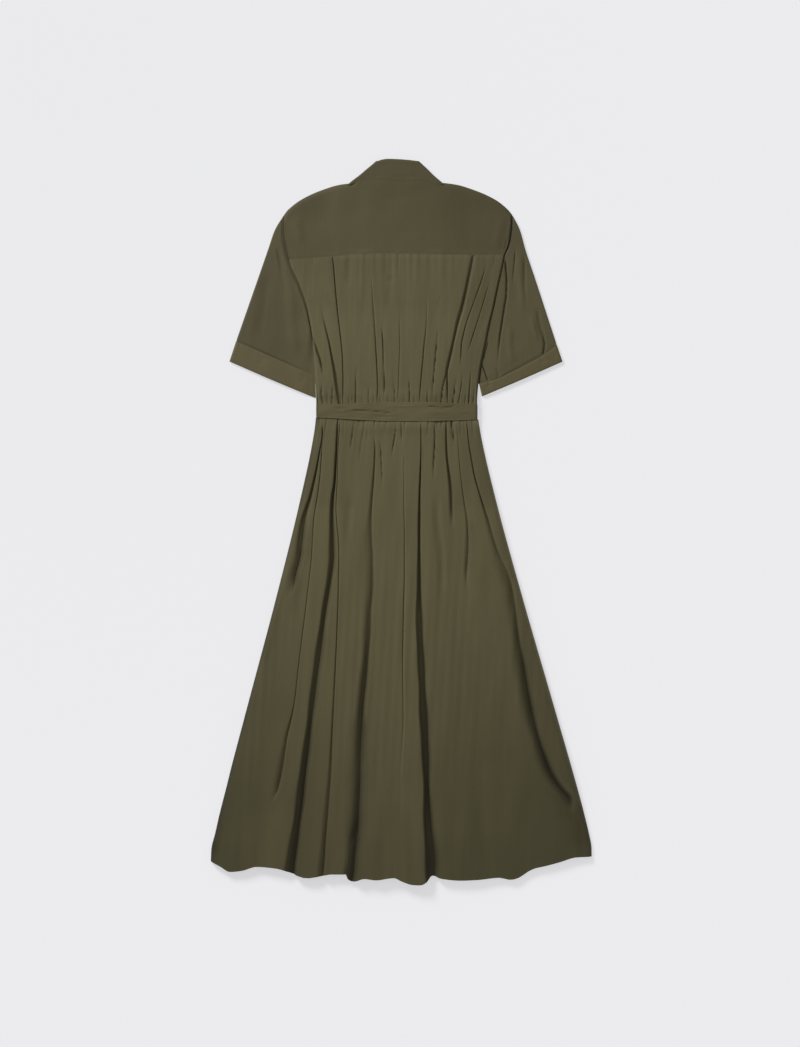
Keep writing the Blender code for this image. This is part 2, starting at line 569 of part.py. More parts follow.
def make_sleeve(side, armhole, inner_edge, outer_edge, cuff_seam, cuff_end):
    """A short sleeve from its armhole to the cuff's seam, and the cuff below it."""
    shift = -SEAM_SHIFT if side == "left" else SEAM_SHIFT
    from_underarm = [(x + shift, y) for x, y in armhole[::-1]]
    inner_line = [from_underarm[0], *inner_edge[1:]]
    outer_line = [from_underarm[-1], *outer_edge[1:]]

    def sleeve_plan(across, along):
        return patch(lambda u: polyline_at(from_underarm, u), lambda u: polyline_at(cuff_seam, u),
                     lambda v: polyline_at(inner_line, v), lambda v: polyline_at(outer_line, v),
                     across, along)

    def cuff_plan(across, along):
        start = polyline_at(cuff_seam, across)
        end = polyline_at(cuff_end, across)
        return mix(start[0], end[0], along), mix(start[1], end[1], along)

    flat_tube("sleeve_" + side, sleeve_plan, SLEEVE_STATIONS, SLEEVE_RIM, CLOTH, SLEEVE_CROWN)
    flat_tube("cuff_" + side, cuff_plan, CUFF_STATIONS, CUFF_RIM, CUFF_PLY, CUFF_CROWN)


def make_sleeves():
    left = [*YOKE_LEFT_SIDE, *((left, y) for y, left, right in BODICE_EDGES[1:6])]
    right = [*YOKE_RIGHT_SIDE, *((right, y) for y, left, right in BODICE_EDGES[1:6])]
    make_sleeve("left", left, SLEEVE_INNER_LEFT, SLEEVE_OUTER_LEFT, CUFF_SEAM_LEFT, CUFF_END_LEFT)
    make_sleeve("right", right, SLEEVE_INNER_RIGHT, SLEEVE_OUTER_RIGHT, CUFF_SEAM_RIGHT, CUFF_END_RIGHT)


# --- collar ---------------------------------------------------------------------------------------

def neck_stations():
    """Stations round the flattened neck, from one front end round the back to the other."""
    arcs = (45.0, 90.0, 135.0)
    front = [0.5 - COLLAR_OPENING, 0.38, 0.28, 0.20, 0.10, 0.0]
    stations = [("front", share) for share in front] + [("left", angle) for angle in arcs]
    stations += [("back", k / 8) for k in range(9)]
    stations += [("right", angle) for angle in arcs[::-1]]
    return stations + [("front", 1.0 - share) for share in front[::-1]]


def neck_point(station, y, inset):
    """A point of the flattened neck at height y, moved in from the fall's outer side by inset."""
    kind, value = station
    radius = COLLAR_HEIGHT / 2
    left, right = collar_left_x(y) + radius, collar_right_x(y) - radius
    if kind == "back":
        return mix(left, right, value), y, COLLAR_HEIGHT - inset
    if kind == "front":
        return mix(left, right, value), y, inset
    angle = math.radians(value)
    out = (radius - inset) * math.sin(angle)
    x = left - out if kind == "left" else right + out
    return x, y, radius - (radius - inset) * math.cos(angle)


def across_neck(station):
    kind, value = station
    return {"left": 0.0, "right": 1.0}.get(kind, value)


def make_collar():
    """The fall, folded over at its top, with the lip that meets the stand inside it."""
    outer, inner = [], []
    for station in neck_stations():
        share = across_neck(station)
        low = fall_front_y(share) if station[0] == "front" else fall_back_y(share)
        high = collar_top_y(share)
        leaf = [mix(low, high, k) for k in (0.0, 0.4)]
        outer.append([neck_point(station, y, 0.0) for y in leaf]
                     + [neck_point(station, high - turn.drop, turn.inset) for turn in FALL_TURN])
        inner.append([neck_point(station, y, CLOTH) for y in leaf]
                     + [neck_point(station, high - turn.inner_drop, turn.inner_inset) for turn in FALL_TURN])
    wall("collar", outer, inner, OLIVE)


def make_collar_stand():
    outer, inner = [], []
    for station in neck_stations():
        seam = front_neck_y if station[0] == "front" else shoulder_y
        low = NECK_NOMINAL_Y
        for _ in range(NECK_STEPS):
            low = seam(neck_point(station, low, STAND_INSET)[0]) + STAND_GAP
        high = collar_top_y(across_neck(station)) - COLLAR_LIP - GAP
        heights = [mix(low, high, k) for k in (0.0, 0.5, 1.0)]
        outer.append([neck_point(station, y, STAND_INSET) for y in heights])
        inner.append([neck_point(station, y, STAND_INSET + CLOTH) for y in heights])
    wall("collar_stand", outer, inner, OLIVE)


# --- belt -----------------------------------------------------------------------------------------

def belt_line():
    """The belt's middle line seen along the dress, from its hidden end round the back to the other."""
    left = BODICE_EDGES[-1][1] + BELT_ROUND
    right = SKIRT_EDGES[1][2] - BELT_ROUND - CLOTH
    ply_low, ply_double = BELT_PLY / 2, BELT_PLY * 1.5 + GAP
    turn = BELT_ROUND - BELT_PLY / 2
    angles = [math.radians(30.0 * k) for k in range(1, 6)]
    line = [(MIDDLE_X + BELT_END, ply_low), (MIDDLE_X - BELT_TAIL, ply_low), (left, ply_low)]
    line += [(left - turn * math.sin(a), ply_low + turn * (1.0 - math.cos(a))) for a in angles]
    for k in range(BELT_COLUMNS + 1):
        x = mix(left, right, k / BELT_COLUMNS)
        rise = (BELT_PLY + GAP) * plateau(x, MIDDLE_X, BELT_TAIL + BELT_END_STEP, BELT_RISE_RAMP)
        line.append((x, ply_low + 2.0 * turn + rise))
    line += [(right + turn * math.sin(a), ply_low + turn * (1.0 - math.cos(a))) for a in angles[::-1]]
    line += [(right, ply_low), (MIDDLE_X + BELT_TAIL, ply_low),
             (MIDDLE_X + BELT_END + BELT_END_STEP, ply_double)]
    return line + [(MIDDLE_X, ply_double), (MIDDLE_X - BELT_END, ply_double)]


def make_belt():
    """One strip round the waist, whose plain ends overlap under the front."""
    line = belt_line()
    outer, inner = [], []
    for i, (x, z) in enumerate(line):
        before, after = line[max(i - 1, 0)], line[min(i + 1, len(line) - 1)]
        length = math.hypot(after[0] - before[0], after[1] - before[1])
        across = (after[1] - before[1]) / length * BELT_PLY / 2
        up = (after[0] - before[0]) / length * BELT_PLY / 2
        low, high = belt_low_y(x), belt_high_y(x)
        heights = (low, (low + high) / 2, high)
        outer.append([(x - across, y, z + up) for y in heights])
        inner.append([(x + across, y, z - up) for y in heights])
    wall("belt", outer, inner, OLIVE)


# --- the hidden front -----------------------------------------------------------------------------

def front_panel(name, outer_edge, inner_x, inner_rows, end_y):
    """A plain front panel between its side edge and the placket, from the waist to the curve end_y."""
    count = len(outer_edge) - 1
    inner_edge = [(inner_x, y) for y in inner_rows]
    (waist_x, waist_y), end_x = outer_edge[0], outer_edge[-1][0]

    def waist(across):
        return mix(waist_x, inner_x, across), waist_y

    def end(across):
        x = mix(end_x, inner_x, across)
        return x, end_y(x)

    upper, lower = [], []
    for i in range(count + 1):
        points = [patch(waist, end, lambda v: polyline_at(outer_edge, v), lambda v: polyline_at(inner_edge, v),
                        j / FRONT_COLUMNS, i / count) for j in range(FRONT_COLUMNS + 1)]
        upper.append([(x, y, front_under(x, y) + CLOTH) for x, y in points])
        lower.append([(x, y, front_under(x, y)) for x, y in points])
    wall(name, upper, lower, OLIVE_DARK)


def front_top_y(x):
    """Top edge of the front: the shoulder seam, then the neck, which is lower than at the back."""
    at_neck = FRONT_NECK[0][0] < x < FRONT_NECK[-1][0]
    return min(shoulder_y(x), front_neck_y(x)) if at_neck else shoulder_y(x)


def front_hem_y(x):
    return FRONT_HEM_MIDDLE + FRONT_HEM_RISE * (x / SKIRT_EDGES[-1][2]) ** 2


def make_front():
    bodice_rows = [WAIST_Y + GAP, *BODICE_ROWS[::-1]]
    placket_rows = [*bodice_rows, *FRONT_YOKE_ROWS, PLACKET_TOP_Y]
    for side, column, sign, yoke_side in (("left", 1, -1, YOKE_LEFT_SIDE), ("right", 2, 1, YOKE_RIGHT_SIDE)):
        inner_x = MIDDLE_X + sign * (PLACKET_HALF + GAP)
        body = [(bodice_edges(y)[column - 1], y) for y in bodice_rows]
        front_panel("front_bodice_" + side, body + list(yoke_side[::-1]), inner_x, placket_rows, front_top_y)
        skirt = [(skirt_edges(y)[column - 1], y) for y in (WAIST_Y, *FRONT_SKIRT_ROWS[:-1])]
        hem_x = skirt_edges(HEM_NOMINAL)[column - 1]
        skirt.append((hem_x, front_hem_y(hem_x)))
        rows = [WAIST_Y, *FRONT_SKIRT_ROWS[:-1], front_hem_y(inner_x)]
        front_panel("front_skirt_" + side, skirt, inner_x, rows, front_hem_y)


def button_places():
    places = []
    for first, pitch, count in (BODICE_BUTTONS, SKIRT_BUTTONS):
        places += [(MIDDLE_X, first - pitch * k) for k in range(count)]
    return places


def disc(mesh, centre, radius, low, high):
    """Add a flat round prism to a mesh under way."""
    rings = []
    for z in (low, high):
        ring = []
        for k in range(BUTTON_SIDES):
            angle = 2.0 * math.pi * k / BUTTON_SIDES
            x = centre[0] + radius * math.cos(angle)
            y = centre[1] + radius * math.sin(angle)
            ring.append(mesh.verts.new((MM * x, MM * y, MM * z)))
        rings.append(ring)
    for k in range(BUTTON_SIDES):
        n = (k + 1) % BUTTON_SIDES
        mesh.faces.new((rings[0][k], rings[0][n], rings[1][n], rings[1][k]))
    mesh.faces.new(rings[0][::-1])
    mesh.faces.new(rings[1])


def make_placket():
    """The placket from neck to hem, with a seat pressed into its underside by each button."""
    rows = [PLACKET_TOP_Y, *PLACKET_ROWS, FRONT_HEM_MIDDLE]
    columns = [MIDDLE_X + share * PLACKET_HALF for share in (-1.0, 0.0, 1.0)]
    upper, lower = [], []
    for y in rows:
        under = front_under(MIDDLE_X, y) if y < BODICE_ROWS[0] else 0.0
        top = under + mix(PLACKET_PLY, CLOTH, at_belt(y))
        upper.append([(x, y, top) for x in columns])
        lower.append([(x, y, under) for x in columns])
    placket = wall("placket", upper, lower, OLIVE_DARK)
    mesh = bmesh.new()
    for centre in button_places():
        disc(mesh, centre, BUTTON_RADIUS + GAP, -CLOTH, BUTTON_HEIGHT + GAP)
    seats = place("button_seats", mesh, OLIVE_DARK, CLOTH_ROUGHNESS)
    seats.hide_render = True
    seats.display_type = "WIRE"
    cut = placket.modifiers.new("seats", "BOOLEAN")
    cut.operation = "DIFFERENCE"
    cut.solver = "EXACT"
    cut.object = seats


def make_buttons():
    for number, centre in enumerate(button_places(), 1):
        mesh = bmesh.new()
        disc(mesh, centre, BUTTON_RADIUS, 0.0, BUTTON_HEIGHT)
        place(f"button_{number:02d}", mesh, BUTTON_BROWN, BUTTON_ROUGHNESS)


def main():
    clear_scene()
    make_back_panels()
    make_yoke()
    make_sleeves()
    make_collar()
    make_collar_stand()
    make_belt()
    make_front()
    make_placket()
    make_buttons()


main()
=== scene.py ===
"""The looks of a long shirt dress that lies flat with its back up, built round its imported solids.

Every table below is in millimetres: x across, y along with the collar towards +Y, z up from the
surface that the dress lies on.  Left and right are the picture's.  Each piece of cloth is a thin
closed shell between two grids of points, one for its upper or outer side and one for the other side.
Folds are creases or tucks that move the upper side up and down.
"""
import math
from collections import namedtuple

import bmesh
import bpy
import numpy as np
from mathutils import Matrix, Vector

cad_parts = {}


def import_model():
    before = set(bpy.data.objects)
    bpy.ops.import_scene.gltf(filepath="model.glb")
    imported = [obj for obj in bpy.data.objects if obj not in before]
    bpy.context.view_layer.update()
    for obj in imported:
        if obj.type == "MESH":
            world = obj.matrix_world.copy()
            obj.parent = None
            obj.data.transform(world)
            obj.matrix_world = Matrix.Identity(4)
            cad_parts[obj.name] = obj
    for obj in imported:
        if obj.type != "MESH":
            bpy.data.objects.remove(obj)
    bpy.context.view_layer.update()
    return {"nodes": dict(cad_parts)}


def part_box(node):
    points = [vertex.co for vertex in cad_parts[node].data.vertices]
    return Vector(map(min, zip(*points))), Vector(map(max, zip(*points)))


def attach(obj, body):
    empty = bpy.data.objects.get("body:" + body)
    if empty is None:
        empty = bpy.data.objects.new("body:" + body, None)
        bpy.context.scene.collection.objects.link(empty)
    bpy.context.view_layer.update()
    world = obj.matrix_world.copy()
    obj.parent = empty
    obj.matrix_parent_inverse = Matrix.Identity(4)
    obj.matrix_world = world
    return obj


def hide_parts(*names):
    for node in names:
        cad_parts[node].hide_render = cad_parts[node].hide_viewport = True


MM = 0.001
SHADE = "painted_light_and_shade"      # the mesh attribute of painted shade and light: it darkens the cloth in its folds

# The cloth's layers and how high they lie
PLY = 0.8                 # one layer of the drapey cloth, as it looks
FRONT_PLY = 0.9
BELT_PLY = 1.2
CUFF_PLY = 1.4
LIE = 1.6                 # the back's upper side at a side seam, above the front's underside
LIFT = 3.0                # how much higher the back lies away from its edges, over the placket
BELT_LIFT = 1.6
CRISP = 50.0              # in degrees: where cloth turns more sharply than this, its edge shows

# The body's outline: its middle line and levels, its side edges (y, left x, right x) and its other
# edges as (x, y) points
MIDDLE_X = -6.8
WAIST_Y = 187.0
BODICE_END = WAIST_Y + 0.4
YOKE_SEAM_LEVEL = 452.0   # the yoke's seam, before it takes on its shape
HEM_NOMINAL = -600.0      # the hem, before it takes on its shape
HEM_RAMP = 200.0          # the rows above the hem take on its shape over this distance
FRONT_HEM_RAMP = 120.0
BODICE_EDGES = (
    (452, -191, 176.2), (430, -185, 171.8), (400, -172, 165), (365, -160, 157.5), (335, -154, 150.2),
    (307, -150, 144.5), (250, -146.5, 133.5), (202, -144, 129.4), (187, -144.2, 129.6),
)
SKIRT_EDGES = (
    (187, -144.2, 129.6), (172, -145, 131.6), (138, -149.9, 137.5), (37, -171.2, 161.2),
    (-134, -213.3, 207.9), (-304, -258.4, 257.1), (-474, -303.2, 305.6), (-505, -311, 313.5),
    (-529, -316.4, 319.2), (-556, -322.3, 323.9), (-600, -324, 324.3),
)
YOKE_SEAM = ((-191, 443.7), (-114, 449), (-59, 454), (0, 454), (119, 451.5), (176.2, 452))
SHOULDER = (
    (-198.5, 521.5), (-192, 529.6), (-170, 546.6), (-137.7, 561.9), (-105, 571.8), (-86, 574.4), (-79, 575.6),
    (-45, 586), (-6.8, 590), (31, 586), (65, 576), (73, 575), (95, 572), (127.5, 562.1), (160.3, 546.9),
    (181.6, 530), (189.2, 520.5),
)
FRONT_NECK = ((-83, 574.4), (-60, 566), (-22, 556), (8, 556), (48, 566), (71, 574.6))
HEM = (
    (-323.5, -577), (-308, -585), (-290, -594.5), (-272, -593), (-245, -586), (-212, -588.5), (-190, -595),
    (-160, -605), (-138, -602), (-118, -598.5), (-94, -598.5), (-90, -607), (-82, -611), (-62, -606),
    (-42, -608), (-12, -604.5), (2, -610.5), (20, -616), (33, -616.5), (43, -612), (53, -601), (69, -606),
    (100, -609), (130, -608), (167, -604.5), (186, -608), (201, -604.5), (212, -596.5), (227, -589),
    (246, -584.5), (270, -578), (298, -570), (323.5, -569),
)
YOKE_LEFT = ((-191.0, 443.7), (-196.5, 467.0), (-199.8, 493.0), (-198.5, 521.5))
YOKE_RIGHT = ((176.2, 452.0), (183.3, 470.0), (187.8, 497.0), (189.2, 520.5))

# Folds.  A crease runs the whole length of a panel, and the panel's columns follow its path of (y, x)
# points.  It is open between its top and bottom.  Down the panel's stations it has: the height of its
# floor above the lying cloth, half the floor's width, and on its left and then on its right the height
# of the cloth beside it and the run of the wall up to that height.
Crease = namedtuple("Crease", "name top bottom path floor half left left_run right right_run")
SKIRT_STATIONS = (165.0, 60.0, -60.0, -300.0, -430.0, -590.0)
SKIRT_CREASES = (
    Crease("left_edge", 169, -128,
           ((187, -131.5), (144, -133.2), (114, -138.6), (83, -144), (42, -153.4), (2, -165.5), (-29, -170),
            (-60, -173.5), (-90, -181.5), (-121, -187), (-308, -232), (-600, -282)),
           (0.2, 0.8, 1, 4, 4, 4), (0.1, 0.6, 3.4, 3, 1, 1), (3.4, 5.8, 6.8, 5, 4.6, 4.4),
           (2.2, 3.2, 8, 12, 12, 12), (3.8, 7.2, 8, 6.6, 6, 5.4), (2, 3.4, 11, 11, 8, 8)),
    Crease("left_thin", 142, -482,
           ((187, -124), (150, -130), (134, -133.5), (104, -135), (73, -137.5), (42, -141.5), (2, -147.6),
            (-60, -151.2), (-121, -158), (-182, -165.4), (-243, -173), (-304, -180), (-335, -186),
            (-366, -194), (-396, -199), (-427, -204.4), (-457, -210.8), (-480, -219), (-600, -246)),
           (1, 5, 6.8, 6, 3.2, 3.2), (0, 0, 0, 0.2, 1.6, 1.4), (2.4, 7.2, 8.2, 7.8, 7.2, 6),
           (1.5, 2.2, 2.4, 3, 8, 9), (2.6, 7.6, 8.8, 8.6, 8, 7), (1.4, 1.8, 2, 2.4, 4, 5)),
    Crease("left_strong", 260, -900,
           ((187, -107), (165, -107.6), (124, -108.6), (83, -110.6), (63, -112.2), (42, -115.2), (2, -116.6),
            (-60, -116), (-90, -119.6), (-121, -124.4), (-151, -129.4), (-182, -133.8), (-243, -142),
            (-304, -150), (-366, -157.4), (-427, -165.4), (-457, -169.4), (-488, -172.8), (-518, -176.8),
            (-549, -182.2), (-600, -189.2)),
           (-0.6, 0, 0.6, 1.2, 1, 1.6), (0.4, 1, 2.2, 2.8, 3.6, 7.2), (3.4, 8, 9, 9.5, 9.5, 9),
           (2.2, 4.4, 5, 5, 5.5, 6), (3.2, 8, 9, 9.6, 9.6, 9), (1.8, 3, 7.4, 11.5, 7.5, 6.5)),
    Crease("left_crisp", 200, -900,
           ((187, -101.5), (165, -103.5), (124, -106.5), (63, -108), (22, -110), (2, -109), (-29, -106),
            (-60, -105), (-121, -106), (-182, -108), (-243, -110.6), (-304, -113.6), (-366, -117),
            (-427, -120), (-488, -126), (-549, -131), (-600, -136)),
           (1.6, 6.2, 6.8, 6.6, 5.8, 4), (0, 0, 0, 0.3, 1.4, 4), (3, 7.8, 8.8, 9.2, 9.2, 8.6),
           (1.4, 1.8, 2, 3, 4, 7), (3.4, 8.4, 9.4, 9.6, 9.6, 9), (1.4, 1.6, 1.8, 2.2, 3, 4)),
    Crease("mid_left", 152, -900,
           ((187, -46), (144, -45.6), (124, -43.8), (73, -46), (42, -48.4), (2, -51), (-29, -51.5),
            (-60, -50), (-121, -51), (-151, -53.4), (-182, -54.2), (-212, -56), (-243, -58.6), (-304, -65.4),
            (-366, -70), (-427, -72.5), (-488, -76), (-518, -79), (-549, -81.6), (-580, -84.6), (-600, -88)),
           (2, 4.4, 3.8, 1.4, 2.4, 1), (0, 0.4, 1.8, 2.4, 3.8, 5.6), (3.8, 7.8, 8.8, 9.8, 9.6, 9.2),
           (1.5, 4, 15, 9, 16, 9), (3.8, 8.2, 9.2, 10, 10, 9.6), (1.5, 2.6, 4.6, 7, 13, 13)),
    Crease("mid_thin", 132, -450,
           ((187, 5), (114, 5.5), (42, 5), (-29, 6), (-90, 6), (-151, 4.5), (-243, 3), (-335, 4), (-396, 1),
            (-427, -1), (-600, -8)),
           (3, 7, 7, 8.4, 9.9, 10), (0, 0, 0, 0, 0, 0), (3.8, 8, 8.8, 9.8, 10, 10),
           (1.4, 1.6, 1.6, 2.4, 3, 3), (3.8, 8.4, 9.8, 11, 11.2, 10.4), (1.2, 1.6, 3.2, 4.6, 5, 5)),
    Crease("mid_strong", 215, -900,
           ((187, 34), (124, 34), (84, 33), (42, 31.6), (-60, 31), (-121, 31), (-182, 32), (-243, 35),
            (-304, 37.4), (-366, 40.8), (-427, 43), (-488, 44.6), (-549, 48.8), (-600, 50.6)),
           (1.8, 0.8, 1, 1.6, 1, 2), (0.1, 0.5, 1.6, 5.2, 4, 6.8), (3.8, 8.2, 9, 11, 11.4, 11),
           (1.4, 1.8, 3, 4, 3.8, 4.4), (3.8, 7.8, 8.2, 9, 8.8, 8.4), (1.4, 1.8, 2.4, 4.4, 6.5, 9)),
    Crease("right_strong", 240, -14,
           ((187, 76.5), (144, 77), (114, 78), (94, 80), (73, 83), (53, 85), (2, 86.4), (-40, 88),
            (-200, 100), (-600, 160)),
           (0.4, 2.2, 4.8, 5, 5, 4.6), (0.2, 1.2, 1.2, 1, 1, 1), (3.8, 7.6, 7.4, 6.2, 5.6, 5),
           (2, 4.2, 6, 8, 8, 8), (3.8, 7.4, 7.2, 6.2, 5.6, 5), (1.6, 2.8, 4, 5, 5, 5)),
    Crease("right_soft", 200, -114,
           ((187, 96), (165, 95.5), (114, 98.5), (83, 101), (53, 104.5), (22, 109.4), (2, 112.4), (-29, 114),
            (-60, 113), (-90, 111), (-120, 112), (-308, 158), (-600, 225)),
           (3, 5.4, 3.6, 5, 4.6, 4.4), (0, 0, 0.6, 1, 1, 1), (3.6, 7.2, 7, 6, 5.4, 4.8),
           (1.4, 2.2, 6, 8, 8, 8), (3.6, 7.2, 7.2, 6.2, 5.6, 5), (1.4, 2, 7, 7, 5, 5)),
    Crease("right_long", 250, -510,
           ((187, 109), (165, 112), (134, 115), (104, 120), (73, 126), (42, 135), (2, 148), (-29, 156.5),
            (-60, 166.5), (-90, 180), (-121, 188.5), (-151, 192), (-182, 195.4), (-212, 199.4), (-243, 204.6),
            (-304, 215.4), (-335, 222), (-366, 230.4), (-396, 239.6), (-427, 251.5), (-457, 268.5),
            (-480, 283), (-600, 303)),
           (0.8, 2.6, 2, -0.6, -0.8, 0.8), (0, 0.4, 1, 4, 3.8, 1.6), (3.2, 6.6, 6.8, 7.4, 7, 4),
           (1.4, 2.4, 11, 14, 14, 12), (2.6, 5.6, 6.4, 7.2, 7, 4.2), (1.3, 2, 3, 6.4, 6.4, 5)),
)
# How many columns lie between the walls of one crease, or the edge, and the next
SKIRT_COLUMNS = (4, 3, 5, 3, 40, 34, 12, 28, 6, 8, 14)

BODICE_STATIONS = (440.0, 360.0, 300.0, 240.0, 205.0)
BODICE_CREASES = (
    Crease("left_deep", 366, 100,
           ((452, -150), (400, -140), (360, -133.5), (337, -129.5), (325, -126.5), (301, -121), (277, -116.5),
            (253, -111.8), (230, -108.6), (206, -106), (187, -105)),
           (2, 2, 0, -0.8, -0.8), (0, 0.2, 0.5, 1.2, 1), (2.6, 3.2, 4.2, 4.4, 3.2), (3, 4, 3.4, 3.6, 3),
           (2.6, 3.2, 4, 4, 3.2), (2, 2.2, 2, 2, 1.6)),
    Crease("left_long", 466, 100,
           ((452, -116), (432, -114), (396, -111), (360, -107.6), (325, -103.6), (301, -100.8), (277, -99),
            (230, -98), (205, -98.5), (187, -98.5)),
           (-0.6, 0.2, 0.4, 0.6, 0.8), (0, 0, 0, 0, 0), (3, 3.2, 3.6, 3.6, 2.8), (2, 2.2, 2.2, 2.2, 2),
           (2.6, 3.2, 3.4, 3.4, 2.8), (1.6, 1.6, 1.6, 1.6, 1.4)),
    Crease("mid_left", 436, 100,
           ((452, -51), (408, -49.5), (372, -47), (337, -44.5), (301, -42.5), (265, -40.5), (230, -39.5),
            (206, -40.5), (187, -41)),
           (2.4, 1.8, 1.2, 0.6, 0.6), (0, 0, 0, 0, 0), (2.6, 3.2, 3.6, 3.6, 2.8), (3, 3.6, 3.2, 2.4, 2),
           (2.6, 3.2, 3.6, 3.4, 2.8), (2, 2.2, 2, 1.6, 1.4)),
    Crease("middle", 362, 100,
           ((452, -3), (337, -2), (301, -1.5), (265, -3), (230, -4), (206, -5), (187, -5)),
           (2.6, 2.8, 2.4, 2.2, 2), (0, 0, 0, 0, 0), (2.6, 3.2, 3.6, 3.4, 2.8), (2, 2.4, 2.2, 2, 2),
           (2.6, 3.2, 3.6, 3.6, 2.8), (1.5, 1.6, 1.5, 1.5, 1.5)),
    Crease("mid_right", 384, 100,
           ((452, 45), (360, 44), (325, 42.8), (301, 40), (277, 38), (253, 35.5), (230, 33.5), (206, 32),
            (187, 31.5)),
           (2.6, 2.5, 1.5, 0.5, 0.8), (0, 0, 0, 0, 0), (2.6, 3.2, 3.6, 3.6, 2.8), (2, 3, 2.6, 2.2, 1.8),
           (2.6, 3.2, 3.6, 3.4, 2.8), (1.6, 1.8, 1.6, 1.5, 1.4)),
    Crease("right_deep", 472, 100,
           ((452, 122.6), (432, 119.2), (408, 114), (384, 109), (360, 103.2), (337, 96.5), (313, 91),
            (289, 86), (265, 80.5), (253, 78.5), (230, 79), (206, 79), (187, 79)),
           (0, -0.4, -0.4, -0.2, 0.2), (0.7, 1.1, 0.5, 0.4, 0.2), (3.4, 4.4, 4.6, 4.2, 2.8),
           (4, 5, 4, 3.4, 2), (3, 3.8, 3.8, 3.6, 2.8), (5, 5.5, 3.8, 2.4, 1.5)),
    Crease("right_fold", 440, 258,
           ((452, 151), (432, 144.4), (408, 137), (384, 128.4), (360, 119.6), (337, 111.5), (313, 105.5),
            (301, 103), (277, 102), (187, 98)),
           (0.8, 1.8, 0.5, 1.8, 2.4), (0, 0, 0, 0, 0), (2.8, 3.6, 3.6, 3.2, 2.8), (2.4, 2.8, 2.6, 2.4, 2),
           (2.8, 3.4, 3.4, 3.2, 2.8), (1.6, 1.8, 1.8, 1.6, 1.4)),
    Crease("right_outer", 414, 282,
           ((452, 166), (396, 147.5), (372, 140.5), (348, 133), (325, 125.5), (301, 118), (277, 112),
            (187, 106)),
           (1.6, 1.8, 1, 2.2, 2.2), (0, 0, 0, 0, 0), (2.6, 3.4, 3.4, 3, 2.6), (2, 2.4, 2.4, 2.2, 2),
           (2.4, 3.2, 3.2, 3, 2.6), (1.4, 1.5, 1.5, 1.4, 1.4)),
)
BODICE_COLUMNS = (22, 4, 30, 22, 26, 26, 8, 7, 18)
FADE = 34.0               # a crease opens and closes over this distance
LEE_REACH = 1.25          # the painted shade on a crease's right-hand side runs out this much further than its wall

# Tucks: short folds along a path of (x, y) points.  A positive depth is a trough, a negative one a
# ridge, with its own reach to the left and right of the path, and it fades in and out over these
# shares of its length.  A round one has no crisp line.
Tuck = namedtuple("Tuck", "path depth left right fade_in fade_out round", defaults=(0.0, 0.8, False))
# The small gathers that come out below the belt
WAIST_TUCKS = (
    Tuck(((-138, 180), (-138, 168), (-139, 150)), 1.2, 2.6, 2),
    Tuck(((-133, 170), (-133, 158), (-133, 144)), 1.6, 2.6, 2, 0.6, 0.3),
    Tuck(((-126, 180), (-127, 165), (-129, 146)), 1, 3, 2.4),
    Tuck(((-117, 180), (-118, 165), (-119, 150)), 0.8, 3, 2.4),
    Tuck(((-96, 180), (-97, 160), (-99, 130)), 0.8, 3.5, 3),
    Tuck(((-90, 180), (-91, 166), (-92, 154)), 0.8, 2.8, 2.2),
    Tuck(((-79, 176), (-81, 155), (-84, 134), (-86, 118)), 2.4, 3.2, 2.2, 0.5, 0.35),
    Tuck(((-71, 180), (-71, 165), (-71, 154)), 1.4, 2.8, 2.2, 0, 0.5),
    Tuck(((-62, 180), (-63, 155), (-67, 134), (-70, 108), (-71, 90)), 1.3, 3.6, 2.6, 0, 0.4),
    Tuck(((-56, 160), (-57, 146), (-58, 132)), 1, 2.4, 2, 0.4, 0.4),
    Tuck(((-45, 180), (-45, 164), (-46, 156)), 1.4, 2.4, 1.8, 0, 0.5),
    Tuck(((-35, 180), (-35.5, 165), (-36, 154)), 1.4, 2.4, 1.8, 0, 0.5),
    Tuck(((-36, 138), (-34, 124), (-32.4, 94), (-31.4, 62), (-32, 44)), 2.4, 2.4, 1.6, 0.15, 0.5),
    Tuck(((-24, 180), (-25, 164), (-27, 140)), 0.9, 3.4, 2.6),
    Tuck(((-7.6, 178), (-8.4, 155), (-10, 144), (-13.4, 124), (-16, 104)), 3.2, 2.6, 1.8, 0.55, 0.4),
    Tuck(((0.5, 178), (1, 155), (1.5, 134)), 2.2, 2.4, 1.8, 0.4, 0.4),
    Tuck(((6, 180), (6, 162), (5.5, 150)), 1.1, 2.2, 1.6, 0, 0.5),
    Tuck(((19, 180), (21, 160), (21, 146)), 1.3, 2.4, 1.8, 0, 0.4),
    Tuck(((27, 180), (27, 162), (26, 140)), 0.8, 3, 2.4),
    Tuck(((47, 180), (46, 158), (45, 142)), 1.4, 2.6, 2, 0, 0.4),
    Tuck(((57, 178), (58.4, 144), (56.8, 114), (55.4, 84), (55, 62)), 3.6, 3.2, 2, 0.35, 0.4),
    Tuck(((61, 180), (61, 164), (61.5, 154)), 1.8, 2.4, 1.8, 0, 0.4),
    Tuck(((69, 180), (69, 164), (69, 154)), 1.3, 2.4, 1.8, 0, 0.4),
    Tuck(((86, 180), (86.5, 165), (88, 155), (90, 138), (91, 130)), 4.4, 3.6, 2.6, 0, 0.4),
    Tuck(((101, 180), (101.5, 160), (102, 142)), 2.8, 2.4, 1.6, 0, 0.4),
    Tuck(((106, 180), (107, 160), (109, 142)), 0.9, 2.6, 2, 0, 0.5),
    Tuck(((120, 180), (122, 155), (124, 125)), 0.9, 3.6, 3),
    Tuck(((38, 140), (38, 112), (38, 78)), 0.7, 2.2, 1.6, 0.4, 0.4),
)
